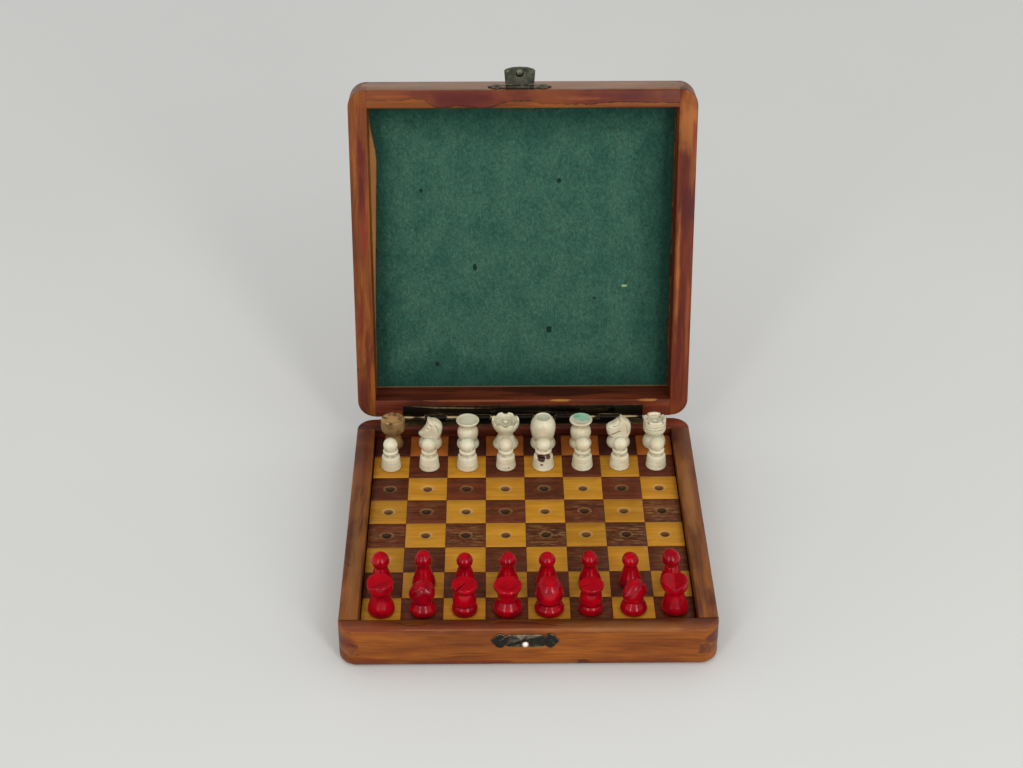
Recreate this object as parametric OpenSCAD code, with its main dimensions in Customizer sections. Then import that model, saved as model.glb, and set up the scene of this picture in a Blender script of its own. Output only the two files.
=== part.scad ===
// Travel chess set: a hinged wooden box whose base holds a pegged board.
// Millimetres. The origin is at the middle of the base's underside, +X to the
// right, +Y to the hinge at the back, +Z up. The lid is drawn standing open.

/* [Box] */
// Height of the base
base_h = 16.5; // [15:0.5:24]
// Height of the lid
lid_h = 16.5; // [16:0.5:24]
// Thickness of the side walls
wall_t = 7.5; // [7:0.5:9]
// Radius of the upright corners
corner_r = 7; // [5:0.5:7]
// Radius of the rounded edge under the base
base_edge_r = 2.5; // [1:0.5:3]
// Radius of the rounded edge on top of the lid
lid_edge_r = 3.5; // [1:0.5:4]
// Thickness of the bottom panel
bottom_t = 2.6; // [2:0.1:3]
// Thickness of the top panel
top_t = 2.6; // [2:0.1:3]
// How far the panels reach into the walls
panel_lap = 1.8; // [1:0.1:2]
// Gap between the two rims when the box is shut
rim_gap = 0.2; // [0.1:0.1:0.5]
// Angle at which the lid stands open
lid_open = 98.8; // [0:0.1:180]
// Thickness of the felt in the lid
felt_t = 0.75; // [0.5:0.05:1.5]
// Gap between the felt and the walls
felt_gap = 0.3; // [0.1:0.1:1]

/* [Board] */
// Pitch of the squares, which sets the width and depth of the box
square_w = 15.78; // [14.8:0.01:18]
// Width trimmed off the outer side of the first and last file
file_trim = 1.07; // [0:0.01:1.5]
// Width trimmed off the back of the last rank
rank_trim = 0.94; // [0:0.01:1.5]
// How far the board lies below the rim
board_recess = 3.8; // [3:0.1:5]
// Thickness of the board under the veneer
core_t = 3.4; // [3:0.1:5]
// Thickness of the veneer squares
veneer_t = 0.6; // [0.4:0.1:1]
// Gap between the board and each side wall
board_side_gap = 0.45; // [0.2:0.05:1]
// Gap between the board and the front wall
board_front_gap = 1.5; // [0.2:0.1:2]
// Gap between the board and the back wall
board_back_gap = 0.2; // [0.1:0.1:1]
// Width of the joint line between squares
joint_line = 0.12; // [0.05:0.01:0.3]
// Diameter of the peg holes
hole_d = 3.5; // [3:0.1:4]
// Width of the worn rim round each peg hole
hole_rim = 0.3; // [0.1:0.05:0.5]
// Width of the strips that carry the board
ledge_w = 5; // [3:0.5:5]

/* [Hinge] */
// Length of the hinge
hinge_len = 102; // [80:1:104]
// Number of knuckles along the hinge
knuckles = 11; // [7:2:15]
// Outer diameter of the knuckles
knuckle_d = 2.5; // [2.2:0.1:3]
// Diameter of the hinge pin
pin_d = 1.1; // [0.8:0.1:1.4]
// Distance of the hinge pin behind the box
pin_out = 0.6; // [0.5:0.1:1]
// Width of each leaf on its rim
leaf_w = 5; // [4:0.5:5.5]
// Thickness of each leaf
leaf_t = 0.7; // [0.5:0.1:0.9]
// Number of nails in each leaf
leaf_nails = 4; // [2:1:8]

/* [Latch] */
// Sideways place of the latch
latch_x = -1.3; // [-5:0.1:5]
// Length of each latch plate
plate_w = 25.4; // [22:0.1:28]
// Length of the straight middle of a latch plate
plate_mid_w = 11.5; // [10:0.1:13]
// Height of the straight middle of a latch plate
plate_h = 5.6; // [5:0.1:6.4]
// Thickness of the latch plates and the tongue
plate_t = 0.6; // [0.5:0.1:0.8]
// Height of the stud above the table
stud_z = 12.4; // [11:0.1:13]
// Diameter of the stud
stud_d = 2.5; // [2:0.1:2.8]
// Reach of the stud in front of its plate
stud_reach = 2.7; // [2.2:0.1:3]
// Height of the tongue's pin above the shut lid's rim
tongue_pin_z = 1; // [1:0.1:2]
// Length of the tongue from its pin
tongue_len = 8; // [7.6:0.1:9]
// Width of the tongue at its free end
tongue_w = 12.4; // [11.5:0.1:13]
// Outer diameter of the tongue's knuckles
tongue_knuckle_d = 1.8; // [1.6:0.1:2]
// Diameter of the tongue's pin
tongue_pin_d = 0.8; // [0.6:0.1:1]
// Inner diameter of the hollow boss that takes the stud
boss_d = 3.5; // [3.3:0.1:4]
// Angle between the tongue and the face of the lid
tongue_open = 90; // [0:1:140]

/* [Pieces] */
// Diameter of the pegs under the pieces
peg_d = 2.6; // [2:0.1:2.8]
// Length of the pegs
peg_len = 3.6; // [2:0.1:4.5]
// Height of a white pawn
white_pawn_h = 14; // [12:0.1:15.5]
// Diameter of a white pawn's foot
white_pawn_d = 8.8; // [8:0.1:10]
// Diameter of a white pawn's head
white_pawn_head_d = 5.9; // [5:0.1:7]
// Height of a red pawn
red_pawn_h = 14.4; // [12:0.1:15.5]
// Diameter of a red pawn's foot
red_pawn_d = 8.9; // [8:0.1:10]
// Diameter of a red pawn's head
red_pawn_head_d = 6; // [5:0.1:7]
// Height of a white rook
white_rook_h = 13.3; // [12:0.1:15.5]
// Diameter of a white rook's head
white_rook_d = 9.5; // [8.5:0.1:11]
// Height of the brown rook
brown_rook_h = 13.9; // [12:0.1:15.5]
// Diameter of the brown rook's head
brown_rook_d = 10.1; // [8.5:0.1:11]
// Height of a red rook
red_rook_h = 14.4; // [12:0.1:15.5]
// Diameter of a red rook's head
red_rook_d = 9.9; // [8.5:0.1:11]
// Height of a white bishop
white_bishop_h = 12.9; // [12:0.1:15.5]
// Diameter of a white bishop's head
white_bishop_d = 9.7; // [8.5:0.1:11]
// Height of a red bishop
red_bishop_h = 12.8; // [12:0.1:15.5]
// Diameter of a red bishop's head
red_bishop_d = 9.7; // [8.5:0.1:11]
// Height of the white queen
white_queen_h = 13.6; // [12:0.1:15.5]
// Diameter of the white queen's crown
white_queen_d = 11.4; // [9:0.1:12]
// Height of the red queen
red_queen_h = 12.6; // [12:0.1:15.5]
// Diameter of the red queen's crown
red_queen_d = 10.4; // [9:0.1:12]
// Height of the white king
white_king_h = 14.1; // [12:0.1:15.5]
// Diameter of the white king's barrel
white_king_d = 10.8; // [9:0.1:12]
// Height of the red king
red_king_h = 14.5; // [12:0.1:15.5]
// Diameter of the red king's barrel
red_king_d = 10.1; // [9:0.1:12]
// Diameter of a white officer's foot
white_foot_d = 9.7; // [9:0.1:11]
// Diameter of a red officer's foot
red_foot_d = 10; // [9:0.1:11]
// Diameter of the feet of the kings and queens
royal_foot_d = 10.9; // [10:0.1:11.5]
// Thickness of a knight's head
knight_t = 5.2; // [4:0.1:6]
// Height of the white knight on the left
left_knight_h = 14; // [12:0.1:15.5]
// Height of the white knight on the right
right_knight_h = 14.6; // [12:0.1:15.5]
// Height of a red knight
red_knight_h = 13.6; // [12:0.1:15.5]

/* [Hidden] */
kinds = ["rook", "knight", "bishop", "queen", "king", "bishop", "knight", "rook"];
sides = ["left", "left", "left", "", "", "right", "right", "right"];
officer_names = [for (i = [0:7]) sides[i] == "" ? kinds[i] : str(kinds[i], "_", sides[i])];
box_nodes = [
    "base_front", "base_back", "base_left", "base_right", "base_bottom",
    "board_ledges", "board_core", "light_squares", "dark_squares",
    "hinge_base_leaf", "hinge_pin", "hinge_base_nails",
    "latch_plate", "latch_nails", "latch_stud",
    "lid_front", "lid_back", "lid_left", "lid_right", "lid_panel", "felt_lining",
    "hinge_lid_leaf", "hinge_lid_nails",
    "hasp_plate", "hasp_plate_nails", "hasp_pin", "hasp_tongue"
];
piece_nodes = [for (set = ["white_", "red_"], n = officer_names) str(set, n)];
pawn_nodes = [for (set = ["white_pawn_", "red_pawn_"], i = [1:8]) str(set, i)];

$fn = 48;
tiny = 0.01;
running = 0.05;
seat_gap = 0.05;
swing_gap = 0.15;
board_w = 8 * square_w - 2 * file_trim;
board_d = 8 * square_w - rank_trim;
inner_w = board_w + 2 * board_side_gap;
inner_d = board_d + board_front_gap + board_back_gap;
box_w = inner_w + 2 * wall_t;
box_d = inner_d + 2 * wall_t;
lid_z = base_h + rim_gap;
hinge_y = box_d / 2 + pin_out;
hinge_z = base_h + rim_gap / 2;
board_z = base_h - board_recess;
core_z = board_z - veneer_t - core_t;
board_front = -inner_d / 2 + board_front_gap;
board_back = board_front + board_d;
hole_r = hole_d / 2;
peg_r = peg_d / 2;
edge_steps = 6;
knuckle_len = hinge_len / knuckles;
nail_head_r = 1;
nail_head_h = 0.4;
nail_r = 0.4;
nail_len = 4.5;
sunk_head_r = 0.95;
tongue_pin_out = 1;
tongue_pin_y = -box_d / 2 - tongue_pin_out;
hasp_z = lid_z + tongue_pin_z;
boss_len = stud_reach + running + plate_t - tongue_pin_out + tongue_knuckle_d / 2 - plate_t;
leaf_tip = plate_w / 2;
latch_nail_x = plate_mid_w / 2 + 3.4;

// Sideways places of the files: the outer ones are trimmed by the board's edge
function file_x(i) = let (full = (i - 4.5) * square_w, edge = 3 * square_w)
    abs(full) < edge ? full : sign(full) * (edge + board_w / 2) / 2;
function rank_y(j) = board_front + (j - 0.5) * square_w;

// Quarter of an oval on a turned outline, flat at its start and upright at its end
function rise(r0, z0, r1, z1, n = 5) =
    [for (i = [0:n]) [r0 + (r1 - r0) * sin(90 * i / n), z1 - (z1 - z0) * cos(90 * i / n)]];
// Quarter of an oval on a turned outline, upright at its start and flat at its end
function fall(r0, z0, r1, z1, n = 5) =
    [for (i = [0:n]) [r1 + (r0 - r1) * cos(90 * i / n), z0 + (z1 - z0) * sin(90 * i / n)]];

// ---- Walls of the base and the lid ----

// Cross-section of a wall, from its inner side at x = 0, with a round lower outer edge
module wall_section(thick, high, edge) {
    polygon(concat(
        [[0, 0]],
        [for (i = [0:edge_steps]) let (a = -90 + 90 * i / edge_steps)
            [thick - edge + edge * cos(a), edge + edge * sin(a)]],
        [[thick, high], [0, high]]
    ));
}

module straight_wall(length, reach, high, edge) {
    translate([reach - wall_t, length / 2, 0])
        rotate([90, 0, 0])
            linear_extrude(length) wall_section(wall_t, high, edge);
}

// Closed ring of walls, standing on its rounded edge
module wall_ring(high, edge) {
    for (turn = [0, 180]) {
        rotate(turn) straight_wall(box_d - 2 * corner_r, box_w / 2, high, edge);
        rotate(turn + 90) straight_wall(box_w - 2 * corner_r, box_d / 2, high, edge);
    }
    for (i = [0:3]) {
        mirror([i % 2, 0, 0])
            mirror([0, i > 1 ? 1 : 0, 0])
                translate([box_w / 2 - corner_r, box_d / 2 - corner_r, 0])
                    rotate_extrude(angle = 90) wall_section(corner_r, high, edge);
    }
}

// Room of the front or back wall, with fingers at its ends in the given thirds
module cross_room(high, thirds) {
    translate([-inner_w / 2, inner_d / 2, 0]) cube([inner_w, wall_t, high]);
    for (x = [-1, 1], n = thirds)
        translate([x < 0 ? -box_w / 2 : inner_w / 2, inner_d / 2, n * high / 3])
            cube([wall_t, wall_t, high / 3]);
}

// Room of a side wall, with fingers at its ends in the given thirds
module side_room(high, thirds) {
    translate([inner_w / 2, -inner_d / 2, 0]) cube([wall_t, inner_d, high]);
    for (y = [-1, 1], n = thirds)
        translate([inner_w / 2, y < 0 ? -box_d / 2 : inner_d / 2, n * high / 3])
            cube([wall_t, wall_t, high / 3]);
}

module panel(thick) {
    translate([-inner_w / 2 - panel_lap, -inner_d / 2 - panel_lap, 0])
        cube([inner_w + 2 * panel_lap, inner_d + 2 * panel_lap, thick]);
}

// One wall of the base: 0 back, 1 front, 2 right, 3 left
module base_wall(which) {
    color([0.55, 0.27, 0.12]) difference() {
        intersection() {
            wall_ring(base_h, base_edge_r);
            rotate(which % 2 * 180) {
                if (which < 2) cross_room(base_h, [0, 2]);
                else side_room(base_h, [1]);
            }
        }
        panel(bottom_t);
        if (which == 0) hinge_room(base_h - leaf_t, base_h, hinge_nail_spots(base_h), true);
        if (which == 1) front_nail_holes(stud_z);
        if (which == 1) stud_hole();
    }
}

// The same walls for the lid, drawn shut; the ring stands upside down on its top edge
module lid_wall(which) {
    color([0.5, 0.22, 0.12]) difference() {
        intersection() {
            translate([0, 0, lid_z + lid_h]) mirror([0, 0, 1]) wall_ring(lid_h, lid_edge_r);
            translate([0, 0, lid_z]) rotate(which % 2 * 180) {
                if (which < 2) cross_room(lid_h, [1]);
                else side_room(lid_h, [0, 2]);
            }
        }
        translate([0, 0, lid_z + lid_h - top_t]) panel(top_t);
        if (which == 0) hinge_room(lid_z, lid_z + leaf_t, hinge_nail_spots(lid_z), false);
        if (which == 1) front_nail_holes(hasp_plate_z);
    }
}

module base_front() { base_wall(1); }
module base_back() { base_wall(0); }
module base_left() { base_wall(3); }
module base_right() { base_wall(2); }
module base_bottom() { color([0.42, 0.22, 0.12]) panel(bottom_t); }

// Turns what is drawn shut to the angle at which the lid stands open
module open_lid() {
    translate([0, hinge_y, hinge_z])
        rotate([-lid_open, 0, 0])
            translate([0, -hinge_y, -hinge_z]) children();
}

module lid_front() { open_lid() lid_wall(1); }
module lid_back() { open_lid() lid_wall(0); }
module lid_left() { open_lid() lid_wall(3); }
module lid_right() { open_lid() lid_wall(2); }
module lid_panel() {
    color([0.45, 0.2, 0.12]) open_lid()
        translate([0, 0, lid_z + lid_h - top_t]) panel(top_t);
}
module felt_lining() {
    color([0.1, 0.32, 0.25]) open_lid()
        translate([-inner_w / 2 + felt_gap, -inner_d / 2 + felt_gap, lid_z + lid_h - top_t - felt_t])
            cube([inner_w - 2 * felt_gap, inner_d - 2 * felt_gap, felt_t]);
}

// ---- Board ----

module board_ledges() {
    ledge_h = core_z - bottom_t;
    color([0.6, 0.42, 0.25]) for (turn = [0, 180]) rotate(turn) {
        translate([-inner_w / 2, inner_d / 2 - ledge_w, bottom_t]) cube([inner_w, ledge_w, ledge_h]);
        translate([inner_w / 2 - ledge_w, -inner_d / 2 + ledge_w, bottom_t])
            cube([ledge_w, inner_d - 2 * ledge_w, ledge_h]);
    }
}

module board_core() {
    color([0.6, 0.42, 0.25]) difference() {
        translate([-board_w / 2, board_front, core_z]) cube([board_w, board_d, core_t]);
        for (i = [1:8], j = [1:8])
            translate([file_x(i), rank_y(j), core_z - 1]) cylinder(r = hole_r, h = core_t + 2);
    }
}

// Edges of a square's place on the board, trimmed at the board's own edges
function file_edge(i) = min(board_w / 2, max(-board_w / 2, (i - 4) * square_w));
function rank_edge(j) = min(board_back, board_front + j * square_w);

module veneer_square(i, j) {
    low = [file_edge(i - 1) + joint_line / 2, rank_edge(j - 1) + joint_line / 2];
    high = [file_edge(i) - joint_line / 2, rank_edge(j) - joint_line / 2];
    difference() {
        translate([low[0], low[1], board_z - veneer_t])
            cube([high[0] - low[0], high[1] - low[1], veneer_t]);
        translate([file_x(i), rank_y(j), board_z - veneer_t - 1])
            cylinder(r = hole_r, h = veneer_t + 2);
        translate([file_x(i), rank_y(j), board_z - hole_rim])
            cylinder(r1 = hole_r, r2 = hole_r + 2 * hole_rim, h = 2 * hole_rim);
    }
}

// Squares whose file and rank add up to an even or an odd number
module squares(odd) {
    for (i = [1:8], j = [1:8]) if ((i + j) % 2 == odd) veneer_square(i, j);
}
module light_squares() { color([0.75, 0.5, 0.15]) squares(0); }
module dark_squares() { color([0.3, 0.15, 0.1]) squares(1); }

// ---- Hinge ----

function hinge_nail_spots(z) = [for (n = [0:leaf_nails - 1])
    [hinge_len * ((n + 0.5) / leaf_nails - 0.5), box_d / 2 - leaf_w * 0.55, z]];

// Nail with a sunk head, its head up and its top at z = 0; spare widens it to make its hole
module sunk_nail(spare) {
    rotate_extrude() polygon([[0, -nail_len - spare], [nail_r + spare, -nail_len - spare],
        [nail_r + spare, nail_r - sunk_head_r], [sunk_head_r + spare, spare], [0, spare]]);
}
module sunk_nails(spots, spare, up) {
    for (p = spots) translate(p) rotate([up ? 0 : 180, 0, 0]) sunk_nail(spare);
}

// Room that a leaf, the knuckles and the nails take from the back wall
module hinge_room(z_low, z_high, spots, up) {
    translate([-hinge_len / 2 - running, box_d / 2 - leaf_w - running, z_low])
        cube([hinge_len + 2 * running, leaf_w + 1, z_high - z_low]);
    translate([-hinge_len / 2 - running, hinge_y, hinge_z])
        rotate([0, 90, 0]) cylinder(r = knuckle_d / 2 + swing_gap, h = hinge_len + 2 * running);
    sunk_nails(spots, running, up);
}

// One leaf with every second knuckle; first is 0 or 1, z is the leaf's lower side
module hinge_leaf(z, first) {
    difference() {
        union() {
            difference() {
                translate([-hinge_len / 2, box_d / 2 - leaf_w, z])
                    cube([hinge_len, leaf_w + pin_out, leaf_t]);
                translate([-hinge_len / 2 - 1, hinge_y, hinge_z])
                    rotate([0, 90, 0]) cylinder(r = knuckle_d / 2 + swing_gap, h = hinge_len + 2);
            }
            for (n = [first:2:knuckles - 1])
                translate([(n - knuckles / 2) * knuckle_len + swing_gap / 2, 0, 0]) {
                    length = knuckle_len - swing_gap;
                    translate([0, box_d / 2 - leaf_w / 2, z])
                        cube([length, leaf_w / 2 + pin_out, leaf_t]);
                    translate([0, hinge_y, hinge_z])
                        rotate([0, 90, 0]) cylinder(d = knuckle_d, h = length);
                }
        }
        translate([-hinge_len / 2 - 1, hinge_y, hinge_z])
            rotate([0, 90, 0]) cylinder(r = pin_d / 2 + running, h = hinge_len + 2);
        sunk_nails(hinge_nail_spots(first == 0 ? z + leaf_t : z), running, first == 0);
    }
}

module hinge_base_leaf() { color([0.16, 0.15, 0.1]) hinge_leaf(base_h - leaf_t, 0); }
module hinge_lid_leaf() { color([0.16, 0.15, 0.1]) open_lid() hinge_leaf(lid_z, 1); }
module hinge_pin() {
    color([0.5, 0.42, 0.2]) translate([-hinge_len / 2, hinge_y, hinge_z])
        rotate([0, 90, 0]) cylinder(d = pin_d, h = hinge_len);
}

module hinge_base_nails() { color([0.5, 0.42, 0.2]) sunk_nails(hinge_nail_spots(base_h), 0, true); }
module hinge_lid_nails() {
    color([0.5, 0.42, 0.2]) open_lid() sunk_nails(hinge_nail_spots(lid_z), 0, false);
}

// ---- Latch ----

hasp_plate_z = hasp_z + plate_h / 2;

// Outline of a latch plate: a straight middle with a pointed, lobed leaf at each end
module plate_outline() {
    mid = plate_mid_w / 2;
    half = plate_h / 2;
    span = leaf_tip - mid;
    leaf = [[mid, half], [mid + 0.13 * span, half * 0.82], [mid + 0.24 * span, half * 0.68],
        [mid + 0.34 * span, half * 1.05], [mid + 0.52 * span, half * 1.18],
        [mid + 0.7 * span, half * 0.9], [mid + 0.84 * span, half * 0.42], [leaf_tip, 0]];
    right = concat(leaf, [for (i = [6:-1:0]) [leaf[i][0], -leaf[i][1]]]);
    polygon(concat(right, [for (i = [0:14]) [-right[i][0], -right[i][1]]]));
}

// Places a drawing on the front face of the box, its outer side towards the front
module on_front(z) {
    translate([latch_x, -box_d / 2, z]) rotate([90, 0, 0]) children();
}

module nailed_plate(z) {
    on_front(z) difference() {
        linear_extrude(plate_t) plate_outline();
        for (x = [-1, 1]) translate([x * latch_nail_x, 0, -1])
            cylinder(r = nail_r + running, h = plate_t + 2);
    }
}

module front_nail_holes(z) {
    on_front(z) for (x = [-1, 1]) translate([x * latch_nail_x, 0, -nail_len - running])
        cylinder(r = nail_r + running, h = nail_len + 1);
}

module plate_nails(z) {
    on_front(z) for (x = [-1, 1]) translate([x * latch_nail_x, 0, 0]) rotate_extrude()
        polygon(concat([[0, -nail_len], [nail_r, -nail_len], [nail_r, plate_t], [nail_head_r, plate_t]],
            fall(nail_head_r, plate_t, 0, plate_t + nail_head_h, 4)));
}

stud_shank_r = 0.8;
stud_ring_r = 1.6;
stud_ring_h = 0.3;
module stud_hole() {
    on_front(stud_z) translate([0, 0, -nail_len - running])
        cylinder(r = stud_shank_r + running, h = nail_len + 1);
}

module latch_plate() {
    color([0.2, 0.2, 0.14]) difference() {
        nailed_plate(stud_z);
        on_front(stud_z) translate([0, 0, -1]) cylinder(r = stud_shank_r + running, h = plate_t + 2);
    }
}
module latch_nails() { color([0.35, 0.3, 0.16]) plate_nails(stud_z); }
module latch_stud() {
    color([0.8, 0.66, 0.6]) on_front(stud_z) {
        translate([0, 0, -nail_len]) cylinder(r = stud_shank_r, h = nail_len + plate_t + 1);
        translate([0, 0, plate_t]) cylinder(r = stud_ring_r, h = stud_ring_h);
        translate([0, 0, plate_t]) cylinder(d = stud_d, h = stud_reach - stud_d / 2);
        translate([0, 0, plate_t + stud_reach - stud_d / 2]) sphere(d = stud_d);
    }
}

// Knuckles of the hasp along its pin: from and to are distances from the middle
tongue_knuckle_in = 3.6;
module tongue_barrel(from, to) {
    translate([latch_x + from, tongue_pin_y, hasp_z])
        rotate([0, 90, 0]) cylinder(d = tongue_knuckle_d, h = to - from);
}
module tongue_bore() {
    translate([latch_x - plate_mid_w, tongue_pin_y, hasp_z])
        rotate([0, 90, 0]) cylinder(r = tongue_pin_d / 2 + running, h = 2 * plate_mid_w);
}

module hasp_plate() {
    color([0.2, 0.2, 0.14]) open_lid() difference() {
        union() {
            difference() {
                nailed_plate(hasp_plate_z);
                translate([latch_x - tongue_knuckle_in - swing_gap, -box_d / 2 - 5, hasp_z - 5])
                    cube([2 * (tongue_knuckle_in + swing_gap), 10, 5 + tongue_knuckle_d / 2 + swing_gap]);
            }
            for (x = [-1, 1])
                tongue_barrel(x < 0 ? -plate_mid_w / 2 : tongue_knuckle_in + swing_gap,
                    x < 0 ? -tongue_knuckle_in - swing_gap : plate_mid_w / 2);
        }
        tongue_bore();
    }
}
module hasp_plate_nails() { color([0.35, 0.3, 0.16]) open_lid() plate_nails(hasp_plate_z); }
module hasp_pin() {
    color([0.5, 0.42, 0.2]) open_lid()
        translate([latch_x - plate_mid_w / 2, tongue_pin_y, hasp_z])
            rotate([0, 90, 0]) cylinder(d = tongue_pin_d, h = plate_mid_w);
}

// Turns the tongue, drawn hanging over the stud, out to the angle at which it stands
module swing_tongue() {
    translate([0, tongue_pin_y, hasp_z])
        rotate([-tongue_open, 0, 0])
            translate([0, -tongue_pin_y, -hasp_z]) children();
}

// Outline of the tongue, its pin at y = 0 and its free end down
module tongue_outline() {
    root = plate_mid_w / 2;
    half = tongue_w / 2;
    top = -tongue_knuckle_d / 2 - swing_gap;
    polygon([[-root, top], [-half, 1.6 - tongue_len], [-half + 0.6, 0.9 - tongue_len],
        [-half / 2, 0.2 - tongue_len], [0, -tongue_len], [half / 2, 0.2 - tongue_len],
        [half - 0.6, 0.9 - tongue_len], [half, 1.6 - tongue_len], [root, top],
        [tongue_knuckle_in, top], [tongue_knuckle_in, 0],
        [-tongue_knuckle_in, 0], [-tongue_knuckle_in, top]]);
}

boss_z = stud_z - hasp_z;
boss_wall = 0.5;
module hasp_tongue() {
    face = tongue_pin_out + tongue_knuckle_d / 2 - plate_t;
    color([0.2, 0.2, 0.14]) open_lid() swing_tongue() difference() {
        union() {
            on_front(hasp_z) translate([0, 0, face]) linear_extrude(plate_t) tongue_outline();
            on_front(hasp_z) translate([0, boss_z, face])
                cylinder(d1 = boss_d + 2 * boss_wall, d2 = boss_d, h = boss_len + boss_wall);
            tongue_barrel(-tongue_knuckle_in, tongue_knuckle_in);
        }
        on_front(hasp_z) translate([0, boss_z, face - 1])
            cylinder(d = boss_d, h = 1 + 0.2 * boss_len);
        on_front(hasp_z) translate([0, boss_z, face + 0.2 * boss_len - tiny])
            cylinder(d1 = boss_d, d2 = boss_d - 2 * boss_wall, h = 0.8 * boss_len + tiny);
        tongue_bore();
    }
}

// ---- Chess pieces, each drawn with its foot at z = 0 ----

// Solid turned from the right half of its outline, given from the foot upwards
module turned(outline) {
    rotate_extrude() polygon(concat([[0, 0]], outline, [[0, outline[len(outline) - 1][1]]]));
}

// Round hollow in the top of a piece
module dish(radius, depth, top) {
    translate([0, 0, top - depth]) cylinder(r1 = radius * 0.6, r2 = radius, h = depth + tiny);
}

module white_pawn() {
    r = white_pawn_d / 2;
    head = white_pawn_head_d / 2;
    mid = white_pawn_h - head;
    turned(concat([[r - 0.3, 0], [r, 0.3], [r, 0.9], [r - 0.15, 1.2]],
        fall(0.85 * r, mid - 6, 0.68 * r, mid - 4.9),
        rise(0.58 * r, mid - 4.5, 0.71 * r, mid - 3.6, 4),
        fall(0.71 * r, mid - 3.6, 0.55 * r, mid - 2.7, 4)));
    translate([0, 0, mid]) sphere(r = head);
}

module red_pawn() {
    r = red_pawn_d / 2;
    head = red_pawn_head_d / 2;
    mid = red_pawn_h - head;
    turned(concat([[r - 0.3, 0]], rise(r - 0.3, 0, r, 0.8, 3), [[0.97 * r, 2], [0.86 * r, mid - 7]],
        fall(0.72 * r, mid - 4.9, 0.56 * r, mid - 4),
        fall(0.62 * r, mid - 3.4, 0.42 * r, mid - 2.8, 3)));
    translate([0, 0, mid]) sphere(r = head);
}

module rook_notches(count, width, depth, reach, top) {
    for (n = [0:count - 1]) rotate(360 / count * (n + 0.5))
        translate([0, -width / 2, top - depth]) cube([reach + 1, width, depth + 1]);
}

module white_rook() {
    r = white_foot_d / 2;
    head = white_rook_d / 2;
    h = white_rook_h;
    difference() {
        turned(concat([[r - 0.4, 0]], rise(r - 0.4, 0, r, 0.8, 3),
            fall(r, 2.2, 0.74 * r, 0.41 * h), [[0.74 * r, 0.43 * h]],
            rise(0.8 * head, 0.44 * h, head, 0.6 * h), [[head, h - 0.2], [head - 0.2, h]]));
        dish(0.8 * head, 1.6, h);
        rotate(2) rook_notches(4, 1.5, 1.3, head, h);
    }
}

module brown_rook() {
    r = white_foot_d / 2;
    head = brown_rook_d / 2;
    h = brown_rook_h;
    difference() {
        turned([[0.82 * r, 0], [0.86 * r, 0.5], [0.84 * r, 1.6], [0.64 * r, 0.36 * h], [0.6 * r, 0.41 * h],
            [0.83 * head, 0.52 * h], [head, 0.62 * h], [head, h - 0.7], [head - 0.4, h]]);
        dish(0.8 * head, 0.6, h);
        rotate(85) translate([0.8 * head, -0.6, h - 0.9]) cube([head, 1.2, 2]);
    }
}

module red_rook() {
    r = red_foot_d / 2;
    head = red_rook_d / 2;
    h = red_rook_h;
    difference() {
        turned(concat([[r - 0.5, 0]], rise(r - 0.5, 0, r, 1.1, 4),
            [[0.97 * r, 0.2 * h], [0.74 * r, 0.6 * h], [0.68 * r, 0.64 * h]],
            rise(0.85 * head, 0.66 * h, head, 0.73 * h, 3), [[head, h - 0.3], [head - 0.3, h]]));
        translate([0, 0, h + 1]) rotate([90, 0, 0]) cylinder(r = 3.1, h = 4 * head, center = true);
    }
}

module white_bishop() {
    r = white_foot_d / 2;
    head = white_bishop_d / 2;
    h = white_bishop_h;
    difference() {
        turned(concat([[r - 0.4, 0], [r, 0.4]], fall(r, 1.2, 0.79 * r, 0.23 * h, 4),
            rise(0.79 * r, 0.235 * h, 0.93 * r, 0.48 * h), fall(0.93 * r, 0.48 * h, 0.76 * r, 0.73 * h),
            rise(0.74 * r, 0.75 * h, head, 0.94 * h), [[head - 0.3, h]]));
        dish(0.86 * head, 0.5, h);
    }
}

module red_bishop() {
    r = red_foot_d / 2;
    head = red_bishop_d / 2;
    h = red_bishop_h;
    difference() {
        turned(concat([[r - 0.4, 0]], rise(r - 0.4, 0, r, 1, 3), fall(r, 1.8, 0.8 * r, 0.27 * h, 4),
            rise(0.8 * r, 0.28 * h, 0.89 * r, 0.45 * h, 4), [[0.87 * r, 0.7 * h], [0.8 * r, 0.79 * h]],
            rise(0.85 * head, 0.81 * h, head, 0.9 * h, 3), [[head, h - 0.5], [head - 0.4, h]]));
        rotate(-125) translate([0, -0.3, h - 0.8]) cube([head + 1, 0.6, 2]);
    }
}

module white_queen() {
    r = royal_foot_d / 2;
    head = white_queen_d / 2;
    h = white_queen_h;
    difference() {
        turned(concat([[r - 0.5, 0]], rise(r - 0.5, 0, r, 0.8, 3), fall(r, 1.4, 0.78 * r, 0.19 * h, 4),
            fall(0.78 * r, 0.3 * h, 0.59 * r, 0.44 * h, 4),
            [[0.57 * r, 0.5 * h], [0.63 * r, 0.57 * h], [0.82 * head, 0.76 * h], [0.95 * head, 0.88 * h],
                [head, h], [head - 0.6, h]]));
        dish(0.88 * head, 1.9, h);
        for (n = [0:7]) rotate(45 * n) translate([head - 1.6, 0, h + 0.3])
            rotate([0, 90, 0]) cylinder(r = 1.1, h = 3);
    }
    translate([0, 0, h - 1.5]) sphere(r = 0.95);
}

module red_queen() {
    r = royal_foot_d / 2;
    head = red_queen_d / 2;
    h = red_queen_h;
    difference() {
        turned(concat([[r - 0.5, 0]], rise(r - 0.5, 0, r, 0.9, 3), fall(r, 1.3, 0.84 * r, 0.15 * h, 3),
            fall(0.84 * r, 0.2 * h, 0.66 * r, 0.28 * h, 3), [[0.62 * r, 0.45 * h], [0.64 * r, 0.66 * h]],
            rise(0.7 * head, 0.7 * h, head, 0.92 * h), [[head - 0.2, h]]));
        dish(0.84 * head, 1.2, h);
    }
}

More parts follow.
